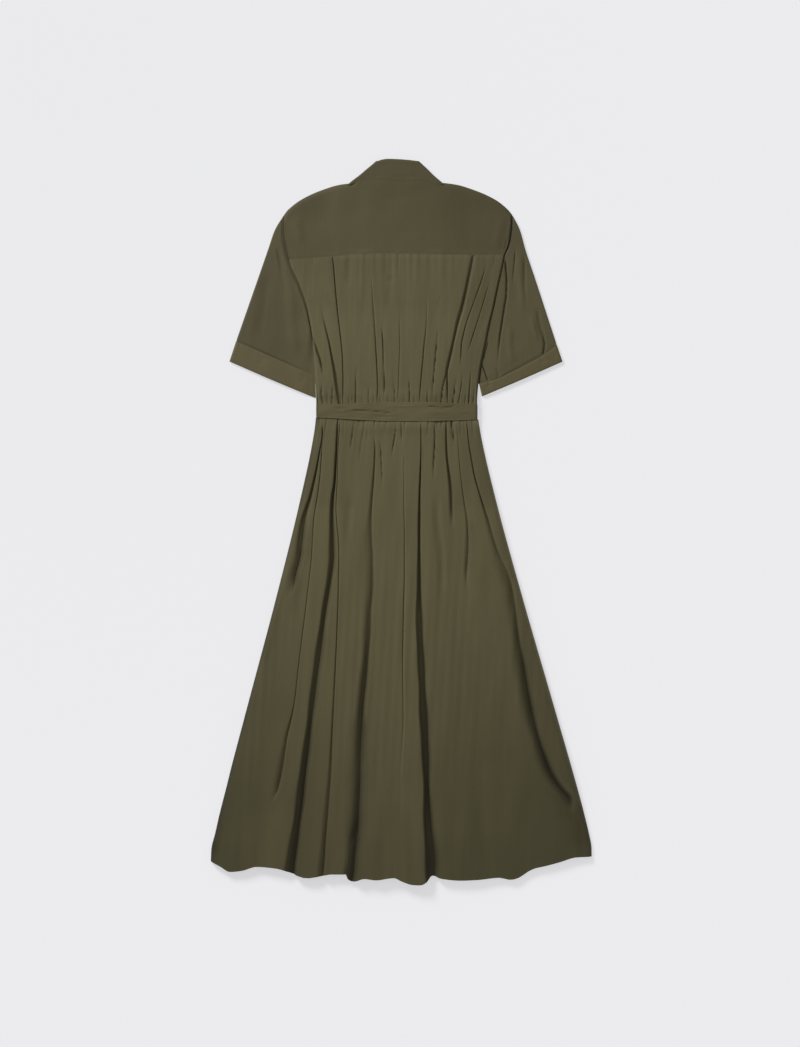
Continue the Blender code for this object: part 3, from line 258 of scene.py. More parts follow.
# The skirt's soft troughs and ridges
SKIRT_DIPS = (
    Tuck(((-84, 50), (-88, 12), (-90, -20), (-86, -50)), 1, 12, 10, 0.4, 0.4, True),
    Tuck(((62, 60), (62, 12), (67.6, -40), (70, -90), (71, -150)), 2, 12, 9, 0.3, 0.35, True),
    Tuck(((-60, -20), (-66, -90), (-68, -150), (-70, -200)), 1.2, 20, 14, 0.4, 0.4, True),
    Tuck(((-172, -38), (-160, -48), (-150, -60)), -1.2, 9, 9, 0.4, 0.4, True),
    Tuck(((168, -62), (182, -84), (194, -98)), -1.2, 9, 7, 0.4, 0.4, True),
    Tuck(((-178, -52), (-166, -56), (-156, -50)), 0.9, 4, 4, 0.3, 0.3),
    Tuck(((-66, -500), (-74, -520), (-90, -556)), 1.4, 8, 8, 0.4, 0.3, True),
    Tuck(((20, -60), (14, -230), (16, -420), (22, -600)), 1, 18, 14, 0.3, 0, True),
    Tuck(((-20, -100), (-28, -280), (-34, -450), (-44, -620)), -0.6, 18, 22, 0.4, 0, True),
    Tuck(((-215, -240), (-246, -420), (-270, -600)), -1.8, 34, 26, 0.4, 0, True),
    Tuck(((140, -240), (176, -420), (205, -600)), 1.4, 46, 40, 0.4, 0, True),
    Tuck(((100, -300), (112, -450), (120, -610)), -1.2, 30, 30, 0.4, 0, True),
    Tuck(((255, -330), (285, -450), (296, -600)), -1.5, 20, 20, 0.4, 0, True),
)

# Painted shade and light: how much of its tone the cloth loses, as painted shade, or gains where the amount
# is below 0, as painted light, and where.  A place is one or more terms that multiply: (axis, start, run)
# comes in from its start over the run, downwards where the run is below 0, and (axis, middle, half, edge) is
# a level stretch with soft edges.  An axis is x, y, a crease's name for the distance across from it, or
# another distance that is named there.
SKIRT_PAINTED_SHADE_AND_LIGHT = (
    (0.05, ("y", 60, -640)),
    (0.16, ("y", 60, -640), ("x", -60, -220)),
    (0.10, ("y", 60, -640), ("x", 30, 60)),
    (0.10, ("y", 60, -640), ("x", 50, 240)),
    (0.16, ("y", -160, 120), ("y", 150, -50), ("from_left", 24, -14)),
    (0.08, ("y", -165, 50, 40), ("from_left", 22, -12)),
    (0.12, ("y", -110, 150, 120), ("right_long", 106, 94, 12)),
    (0.12, ("y", -75, 40, 40), ("left_edge", 9, 5, 6)),
    (0.08, ("y", -125, 20, 25), ("left_edge", 13, 7, 6)),
    (0.16, ("y", -371, 22, 25), ("mid_left", 8, 3, 4)),
    (0.12, ("y", -40, 30, 25), ("right_soft", 6, 3, 3)),
    (0.14, ("y", -105, 25, 25), ("right_long", -10, 4, 5)),
    (0.10, ("y", -482, 12, 20), ("right_long", -14, 7, 8)),
    (-0.10, ("y", -462, 12, 15), ("right_long", 12, 5, 5)),
    (-0.09, ("y", -120, 130, 200), ("x", 0, 400, 1)),
    (0.10, ("y", -235, 50, 110), ("x", -390, 200, 40)),
    (0.10, ("y", 96, 66, 10), ("x", -290, 200, 30)),
    (0.07, ("y", 96, 66, 10), ("x", 284, 200, 8)),
    (0.09, ("y", -400, 70, 80), ("x", -450, 200, 25)),
    (-0.06, ("y", -475, 40, 50), ("x", 160, 16, 24)),
    (-0.08, ("y", -710, 200, 40), ("x", -215, 22, 20)),
    (0.12, ("y", -515, 20, 30), ("x", 505, 200, 40)),
    (0.07, ("y", -25, 45, 35), ("x", 79, 8, 8)),
    (-0.09, ("y", -400, 70, 50), ("x", 9, 7, 6)),
    (0.04, ("y", 120, 45, 30), ("x", -68, 14, 10)),
    (-0.05, ("y", -260, 180, 60), ("x", -14, 20, 12)),
    (-0.05, ("y", -160, 40, 30), ("x", 127, 8, 8)),
    (-0.04, ("y", -10, 60, 40), ("x", 24, 5, 6)),
    (0.07, ("y", -760, 200, 40), ("x", -54, 16, 12)),
    (0.05, ("y", -760, 200, 40), ("x", 22, 10, 10)),
    (0.05, ("y", -760, 200, 40), ("x", -302, 25, 15)),
    (0.04, ("y", -760, 200, 40), ("x", 85, 20, 15)),
    (0.05, ("y", 0, 30, 25), ("x", -87, 10, 10)),
    # painted light on the skirt just below the belt, where the belt's shadow falls
    (-0.10, ("y", 169, 2, 2.5), ("x", 40, 90, 30)),
)
BODICE_PAINTED_SHADE_AND_LIGHT = (
    (0.09, ("y", 330, 50)),
    (0.09, ("y", 395, 40), ("x", -96, -20)),
    (0.05, ("y", 405, 30), ("x", -60, 30, 15)),
    (-0.03, ("y", 405, 20, 15), ("x", 8, 22, 15)),
    (0.09, ("y", 200, 60), ("x", 100, 20)),
)
YOKE_PAINTED_SHADE_AND_LIGHT = (
    (0.06, ("x", 10, 120)),
    (0.08, ("x", -90, -70)),
    (0.07, ("y", 505, 40)),
    (0.05, ("y", 500, 30), ("x", -100, -60)),
    (-0.04, ("y", 466, -14)),
    (-0.03, ("y", 474, 14, 12), ("x", 10, 80, 30)),
)
SLEEVE_PAINTED_SHADE_AND_LIGHT = {          # from_body is the distance from the edge by the body, along the share of the length
    "left": (
        (0.15,),
        (-0.27, ("from_body", 74, -74), ("along", 0.12, 0.15)),
        (-0.12, ("from_body", 14, -14), ("along", 0.4, 0.2)),
        (0.03, ("from_body", 60, 30), ("along", 0.3, 0.2)),
        (-0.09, ("y", 362, 40, 28), ("x", -208, 16)),
        (0.10, ("along", 0.989, 0.005)),
    ),
    "right": (
        (-0.04,),
        (-0.07, ("along", 0.5, 0.2)),
        (0.08, ("y", 440, 40)),
        (0.08, ("along", 0.979, 0.007)),
    ),
}
CUFF_PAINTED_SHADE_AND_LIGHT = {"left": ((0.07,), (-0.12, ("from_body", 60, -60))), "right": ((-0.04,),)}

# The gathers under the yoke: where each starts, its length, how far it leans and its depth; then the
# soft ridges between them
YOKE_TUCKS = tuple(
    Tuck(((x, 455), (x + 0.4 * lean, 452 - 0.5 * length), (x + lean, 452 - length)), depth, 4, 3, 0, 0.7)
    for x, length, lean, depth in (
        (-172, 22, 3, 0.3), (-150, 26, 4, 0.4), (-130, 34, 3, 0.4), (-103, 40, 2, 0.3), (-88, 50, 2, 0.3),
        (-72, 60, 2, 0.4), (-60, 30, 1, 0.5), (-42, 40, 1, 0.3), (-27, 50, 1, 0.4), (-16, 44, 0, 0.4),
        (-4, 40, 0, 0.6), (8, 34, 0, 0.4), (20, 60, -1, 0.4), (33, 32, -1, 0.4), (48, 34, -1, 0.5),
        (62, 44, -2, 0.4), (78, 52, -3, 0.4), (92, 34, -4, 0.4), (106, 40, -6, 0.4), (134, 34, -6, 0.4),
        (160, 30, -7, 0.6))
) + tuple(
    Tuck(((x, 455), (x, 440 - 0.5 * length), (x + lean, 440 - length)), -0.35, 6, 5, 0, 0.6, True)
    for x, length, lean in (
        (-96, 50, 3), (-66, 80, 2), (-48, 50, 1), (-34, 70, 1), (-10, 90, 1), (14, 60, 0), (27, 80, -1),
        (56, 60, -2), (70, 70, -3), (86, 60, -4))
)
# The bodice's own short folds, then the gathers above the belt
BODICE_DIPS = (
    Tuck(((-152, 318), (-148, 306), (-145, 299), (-141, 287), (-137, 276), (-133, 258), (-132, 244)), 4.6,
         4.6, 3, 0.1, 0.35),
    Tuck(((-33, 345), (-31, 313), (-29.5, 282), (-28, 241), (-28, 205)), 2.9, 2.2, 1.5, 0.3, 0.2),
    Tuck(((64, 335), (61, 301), (57, 258), (54.5, 230), (54, 200)), 2.9, 2.4, 1.6, 0.35, 0.2),
    Tuck(((-75, 268), (-76, 241), (-77, 200)), 2.2, 2.4, 1.6, 0.35, 0),
    Tuck(((-3, 205), (-3, 195)), 0.8, 2.4, 1.8, 0.3, 0),
    Tuck(((-92, 448), (-91, 420), (-89, 396)), 0.8, 13, 10, 0.2, 0.4, True),
    Tuck(((-126, 394), (-121, 370), (-118, 350)), 0.6, 9, 8, 0.3, 0.4, True),
    Tuck(((-22, 398), (-22, 376), (-22, 356)), 0.5, 9, 8, 0.3, 0.4, True),
    Tuck(((-16, 420), (-17, 404)), 0.5, 9, 8, 0.4, 0.4, True),
    Tuck(((164, 378), (150, 340), (138, 320), (124, 260)), -0.3, 7, 7, 0.3, 0.4, True),
    Tuck(((70, 400), (66, 376), (60, 350)), 0.6, 4, 3, 0.4, 0.5),
)
ABOVE_BELT_TUCKS = (
    Tuck(((-141, 196), (-142, 218), (-143, 250)), 2.4, 2.6, 2, 0, 0.6),
    Tuck(((-131, 196), (-135, 216), (-133, 238)), 2.6, 3.6, 2.6, 0, 0.5),
    Tuck(((-124, 196), (-125, 214), (-126, 232)), 1.4, 3, 2.4, 0, 0.6),
    Tuck(((-117, 196), (-116, 218), (-114.5, 238)), 2.4, 2.4, 1.8, 0, 0.4),
    Tuck(((-103, 196), (-103, 212), (-104, 228)), 2, 2.4, 1.8, 0, 0.5),
    Tuck(((-88, 196), (-88, 210), (-87, 226)), 1.4, 2.8, 2.2),
    Tuck(((-82, 196), (-82, 212), (-81, 228)), 1.4, 2.4, 1.8),
    Tuck(((-65, 196), (-65, 212), (-64, 228)), 1.2, 3, 2.4),
    Tuck(((-54, 196), (-54, 216), (-53, 236)), 2.6, 2.4, 1.6, 0, 0.5),
    Tuck(((-46, 196), (-46, 210), (-45, 222)), 1.2, 2.4, 1.8),
    Tuck(((-35, 196), (-35, 212), (-35, 250)), 1.2, 2.4, 1.8),
    Tuck(((-21, 196), (-21, 210), (-21, 224)), 1.3, 2.6, 2),
    Tuck(((-10, 196), (-10, 212), (-11, 230), (-12, 246)), 2, 2.2, 1.6, 0, 0.5),
    Tuck(((6, 196), (6, 212), (6, 226)), 1.1, 2.6, 2),
    Tuck(((15, 196), (15, 218), (14.5, 232), (15, 248)), 2.5, 2.2, 1.6, 0, 0.5),
    Tuck(((23, 196), (23, 210), (24, 222)), 1.1, 2.4, 1.8),
    Tuck(((45, 196), (45, 216), (46, 232)), 1.8, 2.2, 1.6, 0, 0.5),
    Tuck(((62, 196), (62, 210), (62, 224)), 1.2, 2.4, 1.8),
    Tuck(((68.5, 196), (70, 218), (72, 230), (75.5, 244), (79, 258)), 3.6, 2.6, 1.8, 0, 0.25),
    Tuck(((88, 196), (91, 218), (93, 236), (95, 250)), 3.2, 2.6, 1.8, 0, 0.5),
    Tuck(((97, 196), (101, 218), (103, 232), (106, 256)), 1.8, 2.2, 1.8, 0, 0.5),
    Tuck(((108, 196), (110, 212), (112, 228)), 1.5, 2.4, 1.8),
    Tuck(((115, 196), (116, 216), (118, 238), (119, 262)), 2.8, 2.4, 1.8, 0, 0.5),
    Tuck(((122, 196), (124, 214), (126, 236)), 1.6, 2.4, 1.8, 0, 0.5),
)


# --- numbers and curves ---------------------------------------------------------------------------

def mix(a, b, share):
    """From a to b, at this share of the way."""
    return a + (b - a) * share


def ease(value):
    """0 to 1 with a soft start and end."""
    value = np.clip(value, 0.0, 1.0)
    return value * value * (3.0 - 2.0 * value)


def onset(value, start, run):
    """0 before the start, 1 after the run; a run below 0 goes downwards."""
    return ease((value - start) / run)


def near(value, reach):
    """1 at 0, down to 0 at the reach."""
    return 1.0 - ease(value / reach)


def bell(value, middle, size):
    """1 at the middle, falling off smoothly on both sides."""
    return np.exp(-((value - middle) / size) ** 2)


def plateau(value, middle, half, edge):
    """1 within half of the middle, down to 0 over the soft edge."""
    return ease((half + edge - np.abs(value - middle)) / edge)


def toned(rows, **axes):
    """The sum of a table of painted shade and light at points whose place along each axis is given."""
    total = 0.0
    for amount, *terms in rows:
        for axis, *term in terms:
            amount = amount * (onset if len(term) == 2 else plateau)(axes[axis], *term)
        total = total + amount
    return total


def curve(knots):
    """A smooth curve through (place, value) knots, without overshoot and level beyond its ends."""
    knots = sorted(knots)
    xs = np.array([knot[0] for knot in knots], float)
    ys = np.array([knot[1] for knot in knots], float)
    steps = np.diff(ys) / np.diff(xs)
    slopes = np.concatenate([steps[:1], steps[1:], steps[-1:]])
    before, after = steps[:-1], steps[1:]
    total = np.where(before + after == 0, 1.0, before + after)
    slopes[1:-1] = np.where(before * after > 0, 2.0 * before * after / total, 0.0)

    def at(x):
        x = np.clip(np.asarray(x, float), xs[0], xs[-1])
        i = np.clip(np.searchsorted(xs, x, side="right") - 1, 0, len(xs) - 2)
        width = xs[i + 1] - xs[i]
        t = (x - xs[i]) / width
        bend = width * t * (1 - t) * ((1 - t) * slopes[i] - t * slopes[i + 1])
        return mix(ys[i], ys[i + 1], t * t * (3 - 2 * t)) + bend
    return at


def smooth_line(points):
    """A smooth line through points at equal steps of a share from 0 to 1: its x and y at a share."""
    places = np.linspace(0.0, 1.0, len(points))
    x_at, y_at = (curve(zip(places, values)) for values in zip(*points))
    return lambda share: (x_at(share), y_at(share))


def patch(low, high, left, right, across, along):
    """Points between four edges (a Coons patch); across and along run from 0 to 1."""
    axes = []
    for axis in (0, 1):
        edges = (mix(low(across)[axis], high(across)[axis], along)
                 + mix(left(along)[axis], right(along)[axis], across))
        zero, one = np.zeros(1), np.ones(1)
        corners = mix(mix(low(zero)[axis], low(one)[axis], across),
                      mix(high(zero)[axis], high(one)[axis], across), along)
        axes.append(edges - corners)
    return axes


def ripple(x, y, length, seed):
    """Soft unevenness between about -1 and 1, with waves of about this length."""
    total = 0.0
    for k in range(6):
        angle = 2.4 * k + 1.3 * seed
        turns = 2.0 * math.pi / length * (0.7 + 0.13 * ((5 * k + 3 * seed) % 7))
        total = total + np.sin((x * math.cos(angle) + y * math.sin(angle)) * turns + 1.7 * k + 2.9 * seed)
    return total / 3.0


hem_y = curve(HEM)
shoulder_y = curve(SHOULDER)
yoke_seam_y = curve(YOKE_SEAM)
front_neck_y = curve(FRONT_NECK)


# --- how high each layer lies ---------------------------------------------------------------------

def at_belt(y):
    """1 where the belt lies, 0 away from it."""
    return plateau(y, WAIST_Y, 19.0, 24.0)


def front_under(x, y):
    """Underside of the front: on the surface, but over the belt and over the collar's points."""
    over_belt = at_belt(y) * 1.5 * (1.0 + plateau(x, MIDDLE_X, 50.0, 22.0))
    return over_belt + 2.3 * plateau(x, MIDDLE_X, 88.0, 40.0) * ease((y - 440.0) / 90.0)


def lying(x, y, rise):
    """Upper side of the back where it just lies on the front; rise is 0 at its edge and 1 away from it."""
    return front_under(x, y) + LIE + mix(LIFT * rise, BELT_LIFT, at_belt(y))


def pressed(height, y):
    """A fold's height, pressed down where the belt holds it."""
    free = 1.0 - plateau(y, WAIST_Y, 14.3, 16.0)
    return mix(np.minimum(height, 1.7), height, free)


def held(y):
    """How much of a gather's depth is left where the belt holds it."""
    return 1.0 - 0.5 * plateau(y, WAIST_Y, 12.0, 5.0)


# --- folds ----------------------------------------------------------------------------------------

def fall(share, power=2.0):
    """1 at 0, down to 0 at 1 along a hollow curve."""
    return np.clip(1.0 - share, 0.0, 1.0) ** power


# Where columns lie across a crease's wall, as shares of its run
WALL_STEPS = np.array([[0.0, 0.08, 0.18, 0.31, 0.47, 0.66, 0.85]])


def column_steps(count):
    """Shares from 0 to 1 that crowd towards both ends."""
    even = np.arange(count + 1) / count
    return mix(even, 0.5 - 0.5 * np.cos(math.pi * even), 0.85)


def slant_of(depth, half):
    """How steeply a crease's floor goes down to the right, away from the light."""
    return np.clip((depth - 1.2) / np.maximum(2.0 * half, 1.0), 0.0, 0.55)


def opened(crease, places, y, number):
    """A crease's floor, half floor, and the level and run of its left and right wall, down the rows."""
    floor, half, at_left, left_run, at_right, right_run = (
        curve(zip(places, values))(y) for values in crease[4:])
    uneven = 1.0 + 0.12 * np.sin(y / 31.0 + number) + 0.08 * np.sin(y / 13.0 + 2 * number)
    shown = ease((crease.top - y) / FADE) * ease((y - crease.bottom) / FADE)
    flat = np.minimum(at_left, at_right)
    return (mix(flat, floor, shown), half * uneven, mix(flat, at_left, shown), left_run * uneven,
            mix(flat, at_right, shown), right_run * uneven)


def between_creases(gap, crease_a, crease_b, count, is_first, is_last):
    """Place, height and painted shade of the columns from one crease, or the panel's edge, to the next."""
    floor_a, half_a, _, _, level_a, run_a = crease_a
    floor_b, half_b, level_b, run_b, _, _ = crease_b
    if is_first:
        level_a = level_b
    if is_last:
        level_b = level_a
    fit = np.minimum(1.0, 0.96 * gap / (half_a + run_a + half_b + run_b))
    half_a, run_a, half_b, run_b = (size * fit for size in (half_a, run_a, half_b, run_b))
    slant_a, slant_b = slant_of(level_a - floor_a, half_a), slant_of(level_b - floor_b, half_b)
    middle = mix(half_a + run_a, gap - half_b - run_b, np.linspace(0.0, 1.0, count + 1)[None, :])
    place = np.concatenate([np.zeros_like(gap), 0.5 * half_a, half_a + run_a * WALL_STEPS, middle,
                            gap - half_b - run_b * WALL_STEPS[:, ::-1], gap - 0.5 * half_b, gap], axis=1)
    if not is_last:
        place = place[:, :-1]
    from_a, from_b = place - half_a, gap - place - half_b
    wall_a, wall_b = np.maximum(from_a, 0.0) / run_a, np.maximum(from_b, 0.0) / run_b
    drop_a, drop_b = fall(wall_a), fall(wall_b)
    height = mix(level_a, level_b, ease(place / gap))
    height += (floor_a - level_a) * drop_a + slant_a * np.maximum(-from_a, 0.0)
    height += (floor_b + 2.0 * slant_b * half_b - level_b) * drop_b - slant_b * np.maximum(-from_b, 0.0)
    # Painted shade down each crease's walls and floor, from how deep the crease is
    shade = np.zeros_like(place)
    if not is_first:
        widened = 1.0 + 0.3 * half_a + 0.7 * ease((half_a - 1.0) / 1.5)
        shade += (level_a - floor_a) * fall(wall_a / LEE_REACH, 1.2) * widened
    if not is_last:
        shade += (level_b - floor_b) * drop_b * (1.0 + 0.3 * half_b)
    return place, height, shade


def creased_grid(ys, left, right, creases, places, columns, edge_run):
    """x, height and painted shade of a panel's points: rows at ys, with columns that follow the creases."""
    y = ys[:, None]
    lines = [left(y)] + [curve(crease.path)(y) for crease in creases] + [right(y)]
    zero = np.zeros_like(y)
    edge = (zero, zero, zero, zero + edge_run, zero, zero + edge_run)
    levels = [edge] + [opened(crease, places, y, k) for k, crease in enumerate(creases, 1)] + [edge]
    blocks = []
    for j, count in enumerate(columns):
        place, height, shade = between_creases(lines[j + 1] - lines[j], levels[j], levels[j + 1], count,
                                               j == 0, j == len(columns) - 1)
        blocks.append((lines[j] + place, height, shade))
    return (np.concatenate(block, axis=1) for block in zip(*blocks))


def tucked(x, y, tucks):
    """How much the tucks move points up or down."""
    height = np.zeros_like(x)
    for fold in tucks:
        points = np.array(fold.path, float)
        reach = max(fold.left, fold.right)
        low, high = points.min(axis=0) - reach, points.max(axis=0) + reach
        within = (x > low[0]) & (x < high[0]) & (y > low[1]) & (y < high[1])
        if not within.any():
            continue
        px, py = x[within], y[within]
        lengths = np.hypot(*np.diff(points, axis=0).T)
        starts = np.concatenate([[0.0], np.cumsum(lengths)])
        best = np.full(px.shape, np.inf)
        side, share = np.zeros(px.shape), np.zeros(px.shape)
        for point, after, length, start in zip(points, points[1:], lengths, starts):
            along = (after - point) / length
            from_x, from_y = px - point[0], py - point[1]
            t = np.clip(from_x * along[0] + from_y * along[1], 0.0, length)
            distance = np.hypot(from_x - t * along[0], from_y - t * along[1])
            closer = distance < best
            best = np.where(closer, distance, best)
            side = np.where(closer, from_y * along[0] - from_x * along[1], side)
            share = np.where(closer, (start + t) / starts[-1], share)
        on_left = side * (points[-1][1] - points[0][1]) > 0
        far = best / np.where(on_left, fold.left, fold.right)
        shape = 0.5 + 0.5 * np.cos(math.pi * np.clip(far, 0.0, 1.0)) if fold.round else fall(far)
        if fold.fade_in:
            shape = shape * ease(share / fold.fade_in)
        if fold.fade_out:
            shape = shape * ease((1.0 - share) / fold.fade_out)
        height[within] -= fold.depth * shape
    return height


# --- meshes ---------------------------------------------------------------------------------------

def linked(name, data):
    """A new object in the scene."""
    piece = bpy.data.objects.new(name, data)
    bpy.context.scene.collection.objects.link(piece)
    return piece


def smooth(mesh, crisp):
    """Smooth shading, except at edges sharper than this angle in degrees."""
    mesh.shade_smooth()
    mesh.set_sharp_from_angle(angle=math.radians(crisp))


def add_values(mesh, name, values):
    """One number for each point, for the material to read."""
    mesh.attributes.new(name, "FLOAT", "POINT").data.foreach_set("value", values.ravel().astype(np.float32))


def quads(index):
    """Faces between the neighbours in a grid of point numbers."""
    corners = (index[:-1, :-1], index[:-1, 1:], index[1:, 1:], index[1:, :-1])
    return np.stack(corners, axis=2).reshape(-1, 4)


def shell(name, upper, lower, material, shade=0.0, closed=False):
    """A thin body between two grids, rows x columns x 3; a closed one joins its last row to its first.

    The painted shade of its upper points is the share of the cloth's tone that they lose, or the painted
    light that they gain if below 0.
    """
    rows, columns = upper.shape[:2]
    count = rows * columns
    index = np.arange(count).reshape(rows, columns)
    if closed:
        index = np.concatenate([index, index[:1]])
    rims = [(index[:, 0], -1), (index[:, -1], 1)]
    if not closed:
        rims += [(index[0], 1), (index[-1], -1)]
    faces = [quads(index), quads(index + count)[:, ::-1]]
    faces += [quads(np.stack([rim, rim + count]))[:, ::turn] for rim, turn in rims]
    faces = np.concatenate(faces)
    points = np.concatenate([upper.reshape(-1, 3), lower.reshape(-1, 3)]) * MM
    a, b, c, d = (points[faces[:, k]] for k in range(4))
    is_inside_out = (np.cross(a, b) * c).sum() + (np.cross(a, c) * d).sum() < 0
    if is_inside_out:
        faces = faces[:, ::-1]
    mesh = bpy.data.meshes.new(name)
    mesh.from_pydata(points.tolist(), [], faces.tolist())
    shade = np.broadcast_to(shade, (rows, columns))
    add_values(mesh, SHADE, np.concatenate([shade, np.zeros_like(shade)]))
    mesh.materials.append(material)
    smooth(mesh, CRISP)
    return linked(name, mesh)


def stack(x, y, z):
    """A grid of points, rows x columns x 3."""
    return np.stack(np.broadcast_arrays(x, y, z), axis=2)


def dress(piece, *nodes, slot="cloth"):
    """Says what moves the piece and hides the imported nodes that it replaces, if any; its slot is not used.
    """
    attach(piece, "root")
    if nodes:
        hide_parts(*nodes)


# --- materials ------------------------------------------------------------------------------------

def linear(rgb):
    """Linear light from the picture's 0 to 255."""
    return [((value / 255.0 + 0.055) / 1.055) ** 2.4 for value in rgb]


class Nodes:
    """Short calls to add and join shader nodes."""

    def __init__(self, name):
        self.material = bpy.data.materials.new(name)
        self.material.use_nodes = True
        self.tree = self.material.node_tree
        self.shader = self.tree.nodes["Principled BSDF"]
        self.place = self.add("ShaderNodeTexCoord").outputs["Object"]

    def fill(self, node, inputs):
        """Gives a node's inputs their values, or joins them to the outputs that they are given."""
        for key, value in inputs.items():
            if isinstance(value, bpy.types.NodeSocket):
                self.tree.links.new(value, node.inputs[key])
            else:
                node.inputs[key].default_value = value

    def add(self, kind, inputs=None, **settings):
        """A new node with its settings and inputs."""
        node = self.tree.nodes.new(kind)
        for key, value in settings.items():
            setattr(node, key, value)
        self.fill(node, inputs or {})
        return node

    def scaled(self, x, y, z, turn=0.0):
        """The place on the object, in units of these many metres."""
        inputs = {"Vector": self.place, "Scale": (1.0 / x, 1.0 / y, 1.0 / z), "Rotation": (0.0, 0.0, turn)}
        return self.add("ShaderNodeMapping", inputs).outputs["Vector"]

    def noise(self, vector, detail=2.0, rough=0.5):
        inputs = {"Vector": vector, "Scale": 1.0, "Detail": detail, "Roughness": rough}
        return self.add("ShaderNodeTexNoise", inputs).outputs["Fac"]

    def wave(self, vector, direction):
        inputs = {"Vector": vector, "Scale": 1.0, "Distortion": 1.2, "Detail": 1.0}
        node = self.add("ShaderNodeTexWave", inputs, wave_type="BANDS", bands_direction=direction)
        return node.outputs["Fac"]

    def ramp(self, value, low, high):
        """The value's 0 to 1 spread over low to high."""
        inputs = {"Value": value, "To Min": low, "To Max": high}
        return self.add("ShaderNodeMapRange", inputs).outputs["Result"]

    def math(self, operation, *values):
        return self.add("ShaderNodeMath", dict(enumerate(values)), operation=operation).outputs[0]

    def attribute(self, name):
        """A value that the mesh holds for each of its points."""
        return self.add("ShaderNodeAttribute", attribute_type="GEOMETRY", attribute_name=name).outputs["Fac"]

    def bumps(self, *layers):
        """One normal from bumps laid over each other: each layer's height, and the metres it stands for."""
        below = {}
        for height, distance in layers:
            inputs = {"Height": height, "Strength": 1.0, "Distance": distance, **below}
            below = {"Normal": self.add("ShaderNodeBump", inputs).outputs["Normal"]}
        return below["Normal"]


def cloth(name, rgb, grain=0.0):
    """Plain drapey crepe: a fine weave, faint slubs along the grain and soft unevenness of tone, with the
    painted shade and light that its mesh holds.
    """
    nodes = Nodes(name)
    yarn = nodes.wave(nodes.scaled(0.0021, 0.0021, 0.0021, grain), "X")
    weft = nodes.wave(nodes.scaled(0.0024, 0.0024, 0.0024, grain), "Y")
    weave = nodes.math("MULTIPLY", yarn, weft)
    crepe = nodes.noise(nodes.scaled(0.0011, 0.0014, 0.0011, grain), 3.0, 0.6)
    slub = nodes.noise(nodes.scaled(0.0022, 0.045, 0.02, grain))
    cloud = nodes.noise(nodes.scaled(0.09, 0.14, 0.09))
    streak = nodes.noise(nodes.scaled(0.028, 0.30, 0.05, grain), 4.0, 0.58)
    tone = nodes.ramp(cloud, 0.955, 1.045)
    for pattern, spread in ((slub, 0.042), (streak, 0.08), (crepe, 0.03)):
        tone = nodes.math("ADD", tone, nodes.ramp(pattern, -spread, spread))
    # The tone loses the painted shade that the mesh holds for each point, or gains painted light where that
    # is below 0
    tone = nodes.math("MULTIPLY", tone, nodes.math("SUBTRACT", 1.0, nodes.attribute(SHADE)))
    grey = nodes.add("ShaderNodeCombineColor", dict.fromkeys(("Red", "Green", "Blue"), tone)).outputs["Color"]
    colour = nodes.add("ShaderNodeMix", data_type="RGBA", blend_type="MULTIPLY")
    nodes.fill(colour, {"Factor": 1.0, "A": (*linear(rgb), 1.0), "B": grey})
    nodes.fill(nodes.shader, {
        "Base Color": colour.outputs["Result"],
        "Roughness": nodes.ramp(crepe, 0.70, 0.86),
        "Normal": nodes.bumps((weave, 0.00006), (crepe, 0.00010), (slub, 0.00012)),
        "Sheen Weight": 0.04,
        "Sheen Roughness": 0.5,
        "Specular IOR Level": 0.25,
    })
    return nodes.material


def plain(name, rgb, roughness):
    """One colour with slightly uneven roughness."""
    nodes = Nodes(name)
    grain = nodes.noise(nodes.scaled(0.0008, 0.0008, 0.0008))
    nodes.fill(nodes.shader, {"Base Color": (*linear(rgb), 1.0),
                              "Roughness": nodes.ramp(grain, roughness - 0.05, roughness + 0.05)})
    return nodes.material


# --- the back -------------------------------------------------------------------------------------

BELT_PINCH = 2.4          # how far the belt draws each side in


def edges_at_belt(rows):
    """The body's side edges as curves, drawn in a little where the belt holds them."""
    ys, lefts, rights = zip(*rows)
    left, right = curve(zip(ys, lefts)), curve(zip(ys, rights))
    return (lambda y: left(y) + BELT_PINCH * plateau(y, 187.9, 9.4, 2.4),
            lambda y: right(y) - BELT_PINCH * plateau(y, 186.1, 10.8, 2.4))


def at_hem(edge, corner, ramp):
    """A side edge for rows that move towards the hem's corner over the ramp above the nominal hem."""
    return lambda y: edge(y + (corner - HEM_NOMINAL) * ease((HEM_NOMINAL + ramp - y) / ramp))


def moved_to_hem(y, hem, ramp):
    """Rows above the nominal hem, moved so that the last one is the hem's own line."""
    return y + (hem - HEM_NOMINAL) * ease((HEM_NOMINAL + ramp - y) / ramp)


def rounded(share):
    """A quarter circle's height: 0 at an edge, rising steeply and then level at 1."""
    return np.sqrt(1.0 - (1.0 - np.clip(share, 0.0, 1.0)) ** 2)


def shade_of(creased, tucks, most=0.6):
    """Painted shade down in the folds: how much darker the cloth is painted, from how deep they are."""
    return np.clip(0.022 * creased + 0.10 * np.maximum(tucks, 0.0), 0.0, most)


SKIRT_ROUND = 9.0         # the skirt's side edges round up over this distance
BODICE_ROUND = 3.4
SKIRT_SPLIT_Y = 100.0     # the skirts' rows lie closer together above this line


def back_skirt_painted_shade_and_light(x, y, ys, left, right):
    """How much of its tone the back skirt loses to painted shade, or gains as painted light: at its edges and
    in patches over it.
    """
    from_left, from_right = x - left(y), right(y) - x
    # Painted shade along the left edge, which faces the lamp, and painted light along the right edge
    painted_edge_shade_and_light = (0.45 * fall(from_left / 9.0, 1.0)
             - (0.06 + 0.60 * onset(y, -480.0, 220.0)) * fall(from_right / 9.0, 1.1))
    beside = {crease.name: x - curve(crease.path)(ys)[:, None] for crease in SKIRT_CREASES}
    return painted_edge_shade_and_light + toned(SKIRT_PAINTED_SHADE_AND_LIGHT, x=x, y=y, from_left=from_left, **beside)


